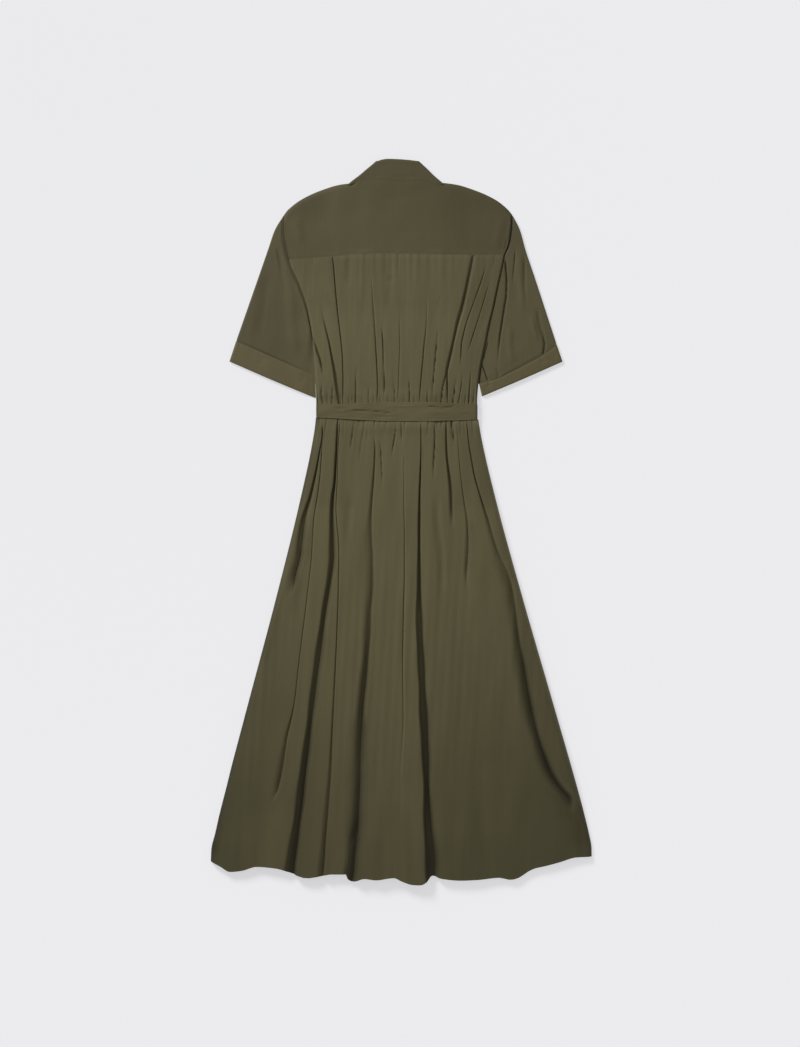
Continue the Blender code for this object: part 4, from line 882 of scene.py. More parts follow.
def make_back_skirt(material):
    left, right = edges_at_belt(SKIRT_EDGES)
    left, right = at_hem(left, HEM[0][1], HEM_RAMP), at_hem(right, HEM[-1][1], HEM_RAMP)
    ys = np.concatenate([np.linspace(WAIST_Y, SKIRT_SPLIT_Y, 34, endpoint=False),
                         np.linspace(SKIRT_SPLIT_Y, HEM_NOMINAL, 96)])
    x, height, creased = creased_grid(ys, left, right, SKIRT_CREASES, SKIRT_STATIONS, SKIRT_COLUMNS,
                                      SKIRT_ROUND)
    y = moved_to_hem(ys[:, None], hem_y(x), HEM_RAMP)
    rise = rounded(np.minimum(x - left(ys[:, None]), right(ys[:, None]) - x) / SKIRT_ROUND)
    gathers = tucked(x, y, WAIST_TUCKS)
    waves = 0.55 * ripple(x, 0.18 * y, 58.0, 1) + 0.30 * ripple(x, 0.12 * y, 19.0, 2)
    height = pressed(height + rise * (tucked(x, y, SKIRT_DIPS) + waves), y)
    height = np.maximum(height + rise * gathers * held(y), -0.9 * rise)
    z = lying(x, y, rise) + height
    darkest = 0.6 + 0.05 * onset(y, -100.0, -100.0)
    shade = shade_of(creased, -gathers, darkest) + back_skirt_painted_shade_and_light(x, y, ys, left, right)
    piece = shell("skirt_back_cloth", stack(x, y, z), stack(x, y, z - PLY), material,
                  np.minimum(shade, darkest + 0.07))
    dress(piece, "back_skirt")


ARMHOLE_LIFT = 1.6        # how much higher the back's edge lies along the armholes than along the sides
BODICE_SPLIT_Y = 262.0    # its rows lie closer together above this line, where the folds are finer


def make_back_bodice(material):
    left, right = edges_at_belt(BODICE_EDGES)
    ys = np.concatenate([np.linspace(YOKE_SEAM_LEVEL, BODICE_SPLIT_Y, 76, endpoint=False),
                         np.linspace(BODICE_SPLIT_Y, BODICE_END, 42)])
    x, height, creased = creased_grid(ys, left, right, BODICE_CREASES, BODICE_STATIONS, BODICE_COLUMNS,
                                      BODICE_ROUND)
    y = ys[:, None] + (yoke_seam_y(x) + 0.9 - YOKE_SEAM_LEVEL) * onset(ys[:, None], 412.0, 40.0)
    rise = rounded(np.minimum(x - left(ys[:, None]), right(ys[:, None]) - x) / BODICE_ROUND)
    gathers = tucked(x, y, YOKE_TUCKS) + tucked(x, y, ABOVE_BELT_TUCKS) + tucked(x, y, BODICE_DIPS)
    waves = 0.26 * ripple(x, 0.2 * y, 34.0, 3) + 0.12 * ripple(x, 0.12 * y, 13.0, 4)
    height = pressed(height + rise * waves, y)
    height = np.maximum(height + rise * gathers * held(y), -0.9)
    on_left = x < MIDDLE_X
    armhole = ARMHOLE_LIFT * (1.0 - rise) * onset(y, 206.0, 12.0) * np.where(on_left, 0.75, 1.0)
    z = lying(x, y, rise) + height + armhole - 0.9 * onset(y, 446.0, 8.0)
    # Painted shadow along the armhole's and the side's edge, where the sleeve meets the back, darkest on the
    # right
    darkest_left = 0.55 + 0.2 * onset(y, 425.0, 15.0) - 0.35 * plateau(y, 377.0, 15.0, 20.0)
    darkest = np.where(on_left, darkest_left, 0.55 + 0.2 * onset(y, 290.0, 30.0))
    painted_shadow_end = np.where(on_left, 318.0, 236.0)
    seam = darkest * (1.0 - rise) ** np.where(on_left, 5.0, 3.0) * onset(y, painted_shadow_end, 16.0)
    piece = shell("bodice_back_cloth", stack(x, y, z), stack(x, y, z - PLY), material,
                  shade_of(creased, -gathers) + seam + toned(BODICE_PAINTED_SHADE_AND_LIGHT, x=x, y=y))
    dress(piece, "back_bodice")


YOKE_STITCHES = 3.0       # this far above the seam
# Where the yoke's seam puckers: the middle across, the size and how high it stands
YOKE_PUCKERS = ((-60, 12, 0.8), (-4, 5, 0.7), (62, 14, 0.7), (-110, 8, 0.4), (112, 7, 0.5))
YOKE_DIPS = (
    Tuck(((-170, 470), (-176, 500), (-178, 520)), -0.9, 12, 12, 0.3, 0.3, True),
    Tuck(((160, 462), (168, 500), (172, 520)), -0.8, 12, 12, 0.3, 0.3, True),
    Tuck(((-60, 556), (-20, 548), (40, 552)), 0.4, 14, 14, 0.3, 0.3, True),
    Tuck(((181, 482), (178, 470), (175, 458)), 1.3, 2.6, 1.8, 0.3, 0.3),
    Tuck(((172, 476), (170, 464), (167, 456)), 0.7, 3, 2.2, 0.3, 0.3),
)


def make_yoke(material):
    across = np.linspace(0.0, 1.0, 170)[None, :]
    along = mix(np.linspace(0.0, 1.0, 74), column_steps(73), 0.5)[:, None]

    def top_or_bottom(corner, line):
        """The yoke's edge along this line, from the left side's corner to the right side's."""
        def edge(share):
            x = mix(YOKE_LEFT[corner][0], YOKE_RIGHT[corner][0], share)
            return x, line(x)
        return edge

    x, y = patch(top_or_bottom(0, yoke_seam_y), top_or_bottom(-1, shoulder_y),
                 smooth_line(YOKE_LEFT), smooth_line(YOKE_RIGHT), across, along)
    x, y = np.broadcast_arrays(x, y)
    width = YOKE_RIGHT[-1][0] - YOKE_LEFT[-1][0]
    from_side = np.minimum(across, 1.0 - across) * width / 5.0
    from_shoulder = (shoulder_y(x) - y) / 10.0 + 3.0 * plateau(x, MIDDLE_X, 60.0, 14.0)
    rise = rounded(np.minimum(from_side, from_shoulder))
    at_side = np.clip(1.0 - from_side, 0.0, 1.0)
    from_seam = y - yoke_seam_y(x)
    puckers = sum(lift * bell(x, middle, size) for middle, size, lift in YOKE_PUCKERS)
    stitched = puckers * bell(from_seam, YOKE_STITCHES, 4.0) - 0.25 * bell(from_seam, YOKE_STITCHES, 0.8)
    at_collar = 0.5 * plateau(x, MIDDLE_X, 60.0, 20.0) * onset(y, 560.0, 14.0)
    relief = tucked(x, y, YOKE_DIPS) + 0.2 * ripple(x, y, 70.0, 5) + stitched + at_collar
    z = lying(x, y, rise) + rise * (1.2 + relief) + ARMHOLE_LIFT * at_side * ease(from_shoulder / 2.0)
    from_collar = FALL_BACK((x - FALL_LEFT_X) / FALL_WIDTH) - y
    # Painted shade from the yoke's table, and painted shadow along its sides where the sleeves meet it
    painted_shade_and_light = toned(YOKE_PAINTED_SHADE_AND_LIGHT, x=x, y=y) + 0.58 * at_side ** 2.5 * ease(from_shoulder / 2.0)
    # A painted shadow just below the collar's lower edge
    painted_shade_and_light += 0.12 * bell(from_collar, 1.2, 1.3) * plateau(x, MIDDLE_X, 62.0, 10.0)
    # The two last dips get painted shade in their folds
    piece = shell("yoke_back_cloth", stack(x, y, z), stack(x, y, z - PLY), material,
                  painted_shade_and_light + shade_of(0.0, -tucked(x, y, YOKE_DIPS[-2:])))
    dress(piece, "back_yoke")


# --- sleeves and cuffs ----------------------------------------------------------------------------

SLEEVE_TOP, CUFF_TOP = 4.0, 5.2     # how high their upper plies lie at first
TUBE_ROUND = 4.0                    # a tube's edges round up over this distance
# Lines of (x, y) points round each sleeve and its cuff.  The armhole runs up from the underarm, the cuff's
# seam and its end run out from the body, and the inner and the outer edge run from armhole to cuff.
# A sleeve is a patch between the first four, and a cuff lies between the seam and the end.
Sleeve = namedtuple("Sleeve", "armhole seam inner outer end")
SLEEVES = {
    "left": Sleeve(
        armhole=((-150.4, 307.0), (-154.4, 335.0), (-160.4, 365.0), (-172.4, 400.0), (-185.4, 430.0),
                 (-191.4, 443.7), (-196.9, 467.0), (-200.2, 493.0), (-198.9, 521.0)),
        seam=((-148.0, 249.6), (-213.0, 277.5), (-280.0, 306.9)),
        inner=((-150.4, 307.0), (-149.6, 278.0), (-148.0, 249.6)),
        outer=((-198.9, 521.0), (-214.2, 495.6), (-226.1, 461.6), (-243.8, 410.6), (-280.0, 306.9)),
        end=((-146.4, 210.0), (-218.9, 240.2), (-291.6, 271.9))),
    "right": Sleeve(
        armhole=((144.9, 307.0), (150.6, 335.0), (157.9, 365.0), (165.4, 400.0), (172.2, 430.0),
                 (176.6, 452.0), (183.7, 470.0), (188.2, 497.0), (189.7, 520.0)),
        seam=((132.6, 234.5), (163.2, 242.8), (187.0, 254.2), (243.0, 284.8), (264.6, 300.5)),
        inner=((144.9, 307.0), (137.6, 270.0), (132.6, 234.5)),
        outer=((189.7, 520.0), (202.0, 495.6), (211.6, 461.6), (228.6, 410.6), (264.6, 300.5)),
        end=((137.6, 212.4), (206.0, 241.4), (274.4, 271.6))),
}

SLEEVE_FOLDS = {
    "left": (
        Tuck(((-196, 470), (-190, 400), (-184, 326), (-176, 268)), -0.8, 12, 12, 0.3, 0.2, True),
        Tuck(((-210, 468), (-204, 435), (-201, 405)), 0.8, 7, 6, 0.3, 0.5, True),
        Tuck(((-212, 470), (-204, 430)), 0.8, 3, 2, 0.4, 0.5),
        Tuck(((-228, 430), (-236, 360), (-246, 300)), 0.9, 16, 12, 0.3, 0.3, True),
        Tuck(((-178, 392), (-174, 370), (-168, 350), (-164, 334)), 0.4, 12, 9, 0.4, 0.4, True),
    ),
    "right": (
        Tuck(((177, 448), (179, 432), (180.4, 411), (179.6, 382), (174, 348), (168.6, 313), (165.6, 280),
             (164, 262)), 3.4, 4.6, 2.8, 0.06, 0.3),
        Tuck(((195, 466), (193, 440), (191, 415), (190, 398)), 1.9, 3, 2.2, 0.3, 0.4),
        Tuck(((209, 462), (210, 440), (210, 396), (213, 360)), 1, 5, 4, 0.3, 0.5, True),
        Tuck(((200, 470), (203, 400), (208, 340)), -0.9, 9, 9, 0.3, 0.4, True),
        Tuck(((232, 366), (235, 340), (240, 320), (246, 306)), 1.5, 8, 4.5, 0.3, 0.3, True),
        Tuck(((240.5, 326), (242.5, 312), (244.5, 302), (243.5, 292), (241.5, 282)), 3.4, 4, 3.4, 0.5, 0.1),
        Tuck(((222, 350), (226, 325), (234, 305)), -1, 7, 5, 0.3, 0.3, True),
        Tuck(((186, 340), (184, 300), (190, 262)), -1.2, 10, 9, 0.3, 0.3, True),
        Tuck(((149, 308), (145, 292), (139, 272)), 1.8, 2.4, 2, 0.2, 0.2),
        Tuck(((137, 268), (143, 253), (148.6, 237)), 3.2, 2.6, 2, 0.2, 0.2),
        Tuck(((160, 262), (166, 250), (164, 240)), 0.8, 4, 4, 0.3, 0.3, True),
    ),
}
CUFF_FOLDS = {
    "left": (
        Tuck(((-165, 252), (-170, 232)), 0.5, 8, 8, 0.3, 0.3, True),
        Tuck(((-235, 282), (-240, 262)), 0.5, 12, 10, 0.3, 0.3, True),
    ),
    "right": (
        Tuck(((150, 242), (150, 226)), 0.9, 7, 5, 0.2, 0.3, True),
        Tuck(((236, 283), (246, 268)), 0.9, 9, 6, 0.2, 0.3, True),
    ),
}


def flat_tube(name, plan, count, rows, top, ply, height_at, shade_at, tucked_in, material):
    """A tube pressed flat: its upper and lower plies meet in rounded edges."""
    under = column_steps(count // 4)[::-1][1:-1]
    across = np.concatenate([column_steps(count), under])[:, None]
    is_upper = (np.arange(len(across)) <= count)[:, None]
    along = rows[None, :]
    x, y = np.broadcast_arrays(*plan(across, along))
    start, end = plan(np.zeros((1, 1)), along), plan(np.ones((1, 1)), along)
    width = np.hypot(start[0] - end[0], start[1] - end[1])
    from_body = across * width
    belly = rounded(np.minimum(across, 1.0 - across) * width / TUBE_ROUND)
    middle = 0.42 * top
    upper_z = middle + belly * (top - middle + height_at(x, y, across, from_body, along))
    lower_z = middle * (1.0 - belly)
    z = np.where(is_upper, upper_z, lower_z)
    inner_z = np.where(is_upper, np.maximum(upper_z - ply, middle), np.minimum(lower_z + ply, middle))
    inner_x, inner_y = plan(mix(across, 0.5, 2.0 * np.minimum(ply / width, 0.02)), along)
    outer = tucked_in(stack(x, y, z), from_body, along)
    inner = tucked_in(stack(inner_x, inner_y, inner_z), from_body, along)
    shade = np.minimum(shade_at(x, y, from_body, along), 0.6) * is_upper
    return shell(name, outer, inner, material, shade, closed=True)


def pinched(points, at_body, inward):
    """Cloth that goes in between the back's edge and the front."""
    x, y, z = (points[:, :, axis] for axis in range(3))
    return stack(x + 1.8 * inward * at_body, y, mix(z, np.clip(z, 1.1, 1.9), at_body))


def make_sleeve(side, material):
    lines, folds = SLEEVES[side], SLEEVE_FOLDS[side]
    is_left = side == "left"

    def plan(across, along):
        return patch(*(smooth_line(line) for line in lines[:4]), across, along)

    def height(x, y, across, from_body, along):
        crown = 1.6 * np.sin(math.pi * np.clip(across, 0, 1))
        at_armhole = -2.4 * near(along, 0.10 if is_left else 0.04) * (1.0 - 0.4 * across)
        if is_left:
            at_armhole = np.minimum(at_armhole, -2.2 * near(from_body, 30.0))
        at_seam = (-0.3 if is_left else -0.6) * onset(along, 0.93, 0.05)
        return crown + at_armhole + at_seam + tucked(x, y, folds) + 0.2 * ripple(x, 0.6 * y, 40.0, 6)

    def shade(x, y, from_body, along):
        """Painted shade in the armhole's seam, at the edge by the body and in the folds, beside the painted
        shade and light from its table.
        """
        gape = 0.009 if is_left else 0.012 + 0.028 * plateau(y, 486.0, 8.0, 22.0)
        darkest = 0.08 + 0.22 * onset(y, 420.0, 20.0) if is_left else 0.55
        seam = darkest * np.sqrt(np.clip(1.0 - along / gape, 0.0, 1.0)) * onset(y, 200.0, 60.0)
        edge = (0.1 if is_left else 0.35) * np.clip(1.0 - from_body / 2.5, 0.0, 1.0)
        painted_shade_and_light = toned(SLEEVE_PAINTED_SHADE_AND_LIGHT[side], x=x, y=y, from_body=from_body, along=along)
        return painted_shade_and_light + np.maximum(seam, edge) + 0.12 * np.maximum(-tucked(x, y, folds), 0.0)

    def tucked_in(points, from_body, along):
        """Its edges by the body go in under the back, and its foot goes into the cuff."""
        at_body = np.maximum(near(along, 0.012), near(from_body, 3.0))
        points = pinched(points, at_body, 1.0 if is_left else -1.0)
        at_foot = onset(along, 0.988, 0.012) * (1.0 - at_body)
        foot = points[0, -1, :2] - points[0, -2, :2]
        points[:, :, :2] += 1.3 * at_foot[:, :, None] * foot / np.hypot(*foot)
        points[:, :, 2] = mix(points[:, :, 2], np.clip(points[:, :, 2], 1.7, 4.0), at_foot)
        return points

    rows = np.concatenate([[0.0, 0.006], np.linspace(0.012, 0.24, 60), np.linspace(0.25, 0.94, 60),
                           [0.955, 0.968, 0.978, 0.984, 0.988, 0.994, 1.0]])
    piece = flat_tube("sleeve_cloth_" + side, plan, 150, rows, SLEEVE_TOP, PLY, height, shade, tucked_in,
                      material)
    dress(piece, "sleeve_" + side)


def make_cuff(side, material):
    seam, end = smooth_line(SLEEVES[side].seam), smooth_line(SLEEVES[side].end)
    is_left = side == "left"

    def plan(across, along):
        return [mix(start, stop, along) for start, stop in zip(seam(across), end(across))]

    def height(x, y, across, from_body, along):
        crown = 0.8 * np.sin(math.pi * across)
        lower = 2.8 * near(from_body, 26.0) if is_left else 0.5 * near(along, 0.2)
        stitched = -0.22 * (bell(along, 0.06, 0.02) + bell(along, 0.93, 0.02))
        soft_end = -0.8 * onset(along, 0.94, 0.06)
        relief = tucked(x, y, CUFF_FOLDS[side]) + 0.08 * ripple(x, y, 30.0, 7)
        return crown - lower + stitched + soft_end + relief

    def shade(x, y, from_body, along):
        # Painted shade on the left cuff, turning to a little painted light near the body, and a little
        # painted light on the right cuff
        return toned(CUFF_PAINTED_SHADE_AND_LIGHT[side], from_body=from_body)

    def tucked_in(points, from_body, along):
        return pinched(points, near(from_body, 3.0), 1.0) if is_left else points

    rows = np.linspace(0.012, 1.0, 28)
    piece = flat_tube("cuff_cloth_" + side, plan, 70, rows, CUFF_TOP, CUFF_PLY, height, shade, tucked_in,
                      material)
    dress(piece, "cuff_" + side)


# --- collar ---------------------------------------------------------------------------------------

COLLAR_HEIGHT = 9.0       # the flattened collar, from its underside to its top
COLLAR_SIDES = (          # y, left x, right x
    (570.0, -93.0, 76.0), (577.2, -85.0, 68.0), (587.4, -71.4, 56.1), (597.6, -59.5, 45.9),
    (612.9, -42.5, 30.6), (616.0, -41.0, 29.0),
)
# The collar's lines, as y at a share across it: its top, and the fall's edge at the back and in front
COLLAR_TOP = curve(((0.0, 612.2), (0.06, 614.0), (0.24, 615.6), (0.55, 614.9), (0.8, 613.7), (1.0, 612.0)))
FALL_BACK = curve(((0.0, 571.0), (0.05, 576.0), (0.12, 581.4), (0.22, 583.0), (0.38, 582.0), (0.55, 579.6),
                   (0.72, 579.8), (0.85, 581.0), (0.94, 577.4), (1.0, 572.0)))
FALL_FRONT = curve(((0.0, 571.0), (0.1, 565.0), (0.28, 540.0), (0.47, 566.0), (0.53, 566.0), (0.72, 540.0),
                    (0.9, 565.0), (1.0, 572.0)))
FALL_LEFT_X, FALL_WIDTH = -74.5, 132.0
STAND_INSET = 2.3         # how far in the stand lies from the collar's outside
# Where the fall rolls over at its top: how far below the top and how far in the outer and then the
# inner side lie
FALL_ROLL = (
    (6.0, 0.0, 6.0, 1.0), (3.4, 0.0, 3.4, 1.0), (1.9, 0.1, 2.3, 1.05), (0.9, 0.4, 1.8, 1.15),
    (0.25, 1.0, 1.3, 1.4), (0.0, 1.65, 1.1, 1.65), (0.25, 2.3, 1.3, 1.9), (0.9, 2.9, 1.8, 2.1),
    (1.9, 3.15, 2.3, 2.25), (4.0, 3.3, 4.0, 2.3), (8.0, 3.3, 8.0, 2.3),
)
collar_left = curve([(row[0], row[1]) for row in COLLAR_SIDES])
collar_right = curve([(row[0], row[2]) for row in COLLAR_SIDES])


def neck_stations():
    """Stations round the flattened neck, from one front end round the back to the other."""
    front = np.concatenate([np.linspace(0.47, 0.30, 9), np.linspace(0.285, 0.0, 14)])
    arcs = np.arange(15.0, 180.0, 15.0)
    found = [("front", share) for share in front] + [("left", angle) for angle in arcs]
    found += [("back", share) for share in np.linspace(0.0, 1.0, 60)]
    found += [("right", angle) for angle in arcs[::-1]]
    return found + [("front", 1.0 - share) for share in front[::-1]]


def neck_point(station, y, inset):
    """A point at this station and y, this far in from the collar's outside."""
    kind, value = station
    radius = COLLAR_HEIGHT / 2
    left, right = float(collar_left(y)) + radius, float(collar_right(y)) - radius
    if kind == "back":
        return mix(left, right, value), y, COLLAR_HEIGHT - inset
    if kind == "front":
        return mix(left, right, value), y, inset
    angle = math.radians(value)
    out = (radius - inset) * math.sin(angle)
    return (left - out if kind == "left" else right + out), y, radius - (radius - inset) * math.cos(angle)


def across_neck(station):
    """The station's share across the collar, from its left to its right."""
    return {"left": 0.0, "right": 1.0}.get(station[0], station[1])


def make_collar(material):
    """The fall, stitched near its edge and rolled over at its top into the lip that meets the stand."""
    outer, inner = [], []
    for station in neck_stations():
        share = across_neck(station)
        low = float((FALL_FRONT if station[0] == "front" else FALL_BACK)(share))
        high = float(COLLAR_TOP(share))
        wall = []
        for y in np.linspace(low, high - 8.0, 12):
            inset = 0.0
            if station[0] == "back":
                stitch = 0.22 * bell(y, low + 5.0, 0.9)
                thin = 0.35 * bell(y, low, 2.5)
                inset = 0.25 + 0.09 * ripple(100.0 * share, y, 45.0, 8) + stitch + thin
            wall.append((y, inset))
        outer.append([neck_point(station, y, inset) for y, inset in wall]
                     + [neck_point(station, high - drop, inset) for drop, inset, _, _ in FALL_ROLL])
        inner.append([neck_point(station, y, inset + 1.0) for y, inset in wall]
                     + [neck_point(station, high - drop, inset) for _, _, drop, inset in FALL_ROLL])
    outer = np.array(outer)
    edge = near(outer[:, :, 1] - outer[:, :1, 1], 2.2)
    # A painted highlight along the back of the fall's lower edge
    piece = shell("collar_fall", outer, np.array(inner), material, -0.16 * edge * (outer[:, :, 2] > 6.0))
    dress(piece, "collar")


def make_collar_stand(material):
    outer, inner = [], []
    for station in neck_stations():
        seam = front_neck_y if station[0] == "front" else shoulder_y
        low = 580.0
        for _ in range(8):            # the seam's height depends on x, and x on the height
            low = float(seam(neck_point(station, low, STAND_INSET)[0])) + 0.8
        heights = np.linspace(low, float(COLLAR_TOP(across_neck(station))) - 8.3, 8)
        outer.append([neck_point(station, y, STAND_INSET) for y in heights])
        inner.append([neck_point(station, y, STAND_INSET + 1.0) for y in heights])
    piece = shell("collar_band", np.array(outer), np.array(inner), material)
    dress(piece, "collar_stand")


# --- belt -----------------------------------------------------------------------------------------

BELT_EDGES = (            # x, low y, high y
    (-144.0, 176.3, 199.5), (-110.0, 174.8, 199.3), (-60.0, 171.8, 200.6), (-20.0, 170.2, 202.6),
    (40.0, 170.2, 203.0), (90.0, 171.4, 200.6), (127.5, 173.0, 199.4),
)
BELT_FOLDS = (
    Tuck(((-102, 186), (-90, 187), (-75, 188), (-52.5, 187.2), (-30, 185), (-6, 182.4)), 2.2, 1.5, 2.4, 0.2,
         0.3),
    Tuck(((40, 195.8), (56, 194.4), (70, 193.2), (84, 194.4), (94, 198.5)), 2.2, 1.4, 2.2, 0.3, 0.2),
    Tuck(((-120, 183), (-96, 184), (-70, 185)), 0.7, 2, 3, 0.4, 0.4),
    Tuck(((-66, 180), (-30, 178), (10, 178.6)), 0.8, 2, 3, 0.4, 0.4),
    Tuck(((-30, 196), (10, 195), (40, 197.5)), -0.6, 4, 3, 0.4, 0.4, True),
    Tuck(((-120, 193), (-100, 192), (-84, 193)), 0.7, 2.4, 3, 0.4, 0.4),
    Tuck(((30, 187), (60, 185), (96, 186)), -0.5, 4, 4, 0.4, 0.4, True),
    Tuck(((96, 181), (110, 182), (122, 180)), 0.7, 2.4, 3, 0.4, 0.4),
)
BELT_ROUND = 3.95         # the radius at which the belt turns round the waist's sides


def make_belt(material):
    """One strip round the waist, stitched along both edges, whose plain ends overlap under the front."""
    left, right = BODICE_EDGES[-1][1] + BELT_ROUND, BODICE_EDGES[-1][2] - BELT_ROUND + 0.4
    low_z, turn = BELT_PLY / 2, BELT_ROUND - BELT_PLY / 2
    round_side = [(turn * math.sin(a), low_z + turn * (1.0 - math.cos(a)))
                  for a in np.radians(np.arange(15.0, 180.0, 15.0))]
    top = np.linspace(left, right, 190)
    top_z = low_z + 2.0 * turn + 1.5 * plateau(top, MIDDLE_X, 56.0, 50.0)
    line = [(x, low_z, 0) for x in np.linspace(MIDDLE_X + 25.0, left, 40)]
    line += [(left - out, z, 0) for out, z in round_side]
    line += [(x, z, 1) for x, z in zip(top, top_z)]
    line += [(right + out, z, 0) for out, z in round_side[::-1]]
    line += [(x, low_z, 0) for x in np.linspace(right, MIDDLE_X + 50.0, 24)]
    line += [(x, BELT_PLY * 1.5 + 0.3, 0) for x in np.linspace(MIDDLE_X + 31.0, MIDDLE_X - 25.0, 16)]
    x, z, is_top = (np.array(column)[:, None] for column in zip(*line))
    step_x, step_z = np.gradient(x, axis=0), np.gradient(z, axis=0)
    length = np.hypot(step_x, step_z)
    out_x, out_z = -step_z / length, step_x / length
    low, high = (curve((row[0], row[k]) for row in BELT_EDGES)(x) for k in (1, 2))
    y = mix(low, high, column_steps(22)[None, :])
    from_edge = np.minimum(y - low, high - y)
    half = BELT_PLY / 2 * np.sqrt(1.0 - (1.0 - np.clip(from_edge / 0.9, 0.0, 1.0)) ** 2 * 0.75)
    stitched = -0.25 * bell(from_edge, 2.6, 0.6)
    grid_x = x + np.zeros_like(y)
    creases = is_top * tucked(grid_x, y, BELT_FOLDS)
    relief = creases + is_top * 0.25 * ripple(grid_x, 2.0 * y, 46.0, 9) + stitched
    # Painted highlights along both edges, over the middle and along the low edge
    painted_shade_and_light = -0.05 * bell(from_edge, 0.9, 1.0) - 0.06 * plateau(grid_x, 20.0, 30.0, 40.0)
    painted_shade_and_light -= 0.12 * bell(y, low, 1.2) * plateau(grid_x, 0.0, 90.0, 30.0)
    upper = stack(grid_x + out_x * (half + relief), y, z + out_z * (half + relief))
    lower = stack(grid_x - out_x * half, y, z - out_z * half)
    # with painted shade in the belt's creases
    piece = shell("belt_cloth", upper, lower, material, 0.22 * np.maximum(-creases, 0.0) + is_top * painted_shade_and_light)
    dress(piece, "belt")


def thread_loop(name, x, low, high, top, material):
    """A thread loop over the belt at the side seam, from low to high along y and up to its top."""
    points = ((x, low, top - 3.6), (x, low + 1.5, top + 0.2), (x + 0.3, low + 6.0, top + 0.75),
              (x + 0.5, mix(low, high, 0.5), top + 0.85), (x + 0.2, high - 6.0, top + 0.75),
              (x, high - 1.5, top + 0.2), (x, high, top - 3.6))
    line = bpy.data.curves.new(name, "CURVE")
    line.dimensions = "3D"
    line.bevel_depth = 0.55 * MM
    line.bevel_resolution = 3
    line.use_fill_caps = True
    spline = line.splines.new("NURBS")
    spline.points.add(len(points) - 1)
    for point, place in zip(spline.points, points):
        point.co = (*(value * MM for value in place), 1.0)
    spline.order_u = 4
    spline.use_endpoint_u = True
    line.materials.append(material)
    dress(linked(name, line))


# --- the hidden front -----------------------------------------------------------------------------

def front_hem_y(x):
    """The hidden front's hem, a soft curve that stays above the back's."""
    return -594.0 + 30.0 * (x / 323.5) ** 2


def front_panel(name, x, y, share, phase, depth, material):
    """A panel that lies on the surface, with the gathers pressed into it as pleats away from its sides."""
    pleats = np.clip(np.sin(phase), 0.0, 1.0) ** 3 * ease(share / 0.05) * ease((1.0 - share) / 0.05)
    under = front_under(x, y) + depth * pleats
    return shell(name, stack(x, y, under + FRONT_PLY), stack(x, y, under), material)


FRONT_SHARES = np.linspace(0.0, 1.0, 90)[None, :]
FRONT_GAP = 15.3          # from the middle line to each front panel's inner edge
FRONT_INSET = 0.6         # from the back's edge in to the front's
FRONT_TOP_Y = 552.0


def make_front_skirt(side, sign, inner_x, edge, material):
    ys = np.concatenate([np.linspace(HEM_NOMINAL, SKIRT_SPLIT_Y, 90, endpoint=False),
                         np.linspace(SKIRT_SPLIT_Y, WAIST_Y, 24)])
    outer_x = at_hem(edge, front_hem_y(HEM[-1][0]), FRONT_HEM_RAMP)(ys)[:, None] - sign * FRONT_INSET
    x = mix(inner_x, outer_x, FRONT_SHARES)
    y = moved_to_hem(ys[:, None], front_hem_y(x), FRONT_HEM_RAMP)
    phase = 2.0 * math.pi * (FRONT_SHARES * 9.0) ** 1.15 + 0.6 * np.sin(y / 90.0)
    piece = front_panel("skirt_front_" + side, x, y, FRONT_SHARES, phase, 0.7 * onset(y, -420.0, 500.0),
                        material)
    dress(piece, "front_skirt_" + side)


def make_front_bodice(side, sign, inner_x, edge, material):
    """Its outer edge runs up the body's side and then the armhole, its top along the neck and shoulder."""
    ys = np.linspace(BODICE_END, YOKE_SEAM_LEVEL, 70)
    armhole = (YOKE_LEFT if side == "left" else YOKE_RIGHT)[1:]
    edge_x = np.concatenate([edge(ys), [point[0] for point in armhole]])
    edge_y = np.concatenate([ys, [point[1] for point in armhole]])
    places = np.concatenate([[0.0], np.cumsum(np.hypot(np.diff(edge_x), np.diff(edge_y)))])
    places /= places[-1]
    rows = np.linspace(0.0, 1.0, 100)[:, None]
    x = mix(inner_x, np.interp(rows, places, edge_x) - sign * FRONT_INSET, FRONT_SHARES)
    y = mix(mix(BODICE_END, FRONT_TOP_Y, rows), np.interp(rows, places, edge_y), FRONT_SHARES)
    at_neck = (FRONT_NECK[0][0] < x[-1]) & (x[-1] < FRONT_NECK[-1][0])
    shoulder = shoulder_y(x[-1])
    top = np.where(at_neck, np.minimum(shoulder, front_neck_y(x[-1])), shoulder)
    y = y + (top - y[-1])[None, :] * rows ** 2
    phase = 2.0 * math.pi * FRONT_SHARES * 7.0
    piece = front_panel("bodice_front_" + side, x, y, FRONT_SHARES, phase, 0.6 * onset(y, 330.0, -120.0),
                        material)
    dress(piece, "front_bodice_" + side)


def make_front(material):
    sides = zip(("left", "right"), (-1.0, 1.0), edges_at_belt(SKIRT_EDGES), edges_at_belt(BODICE_EDGES))
    for side, sign, skirt_edge, bodice_edge in sides:
        inner_x = MIDDLE_X + sign * FRONT_GAP
        make_front_skirt(side, sign, inner_x, skirt_edge, material)
        make_front_bodice(side, sign, inner_x, bodice_edge, material)


PLACKET_HALF = 16.2       # it laps over the front panels' inner edges
PLACKET_STITCHES = (12.4, 14.0)     # from its middle line
PLACKET_TOP_Y = 553.0
PLACKET_TOP = 3.0         # its upper side over the surface, and over the belt
PLACKET_OVER_BELT = 1.5


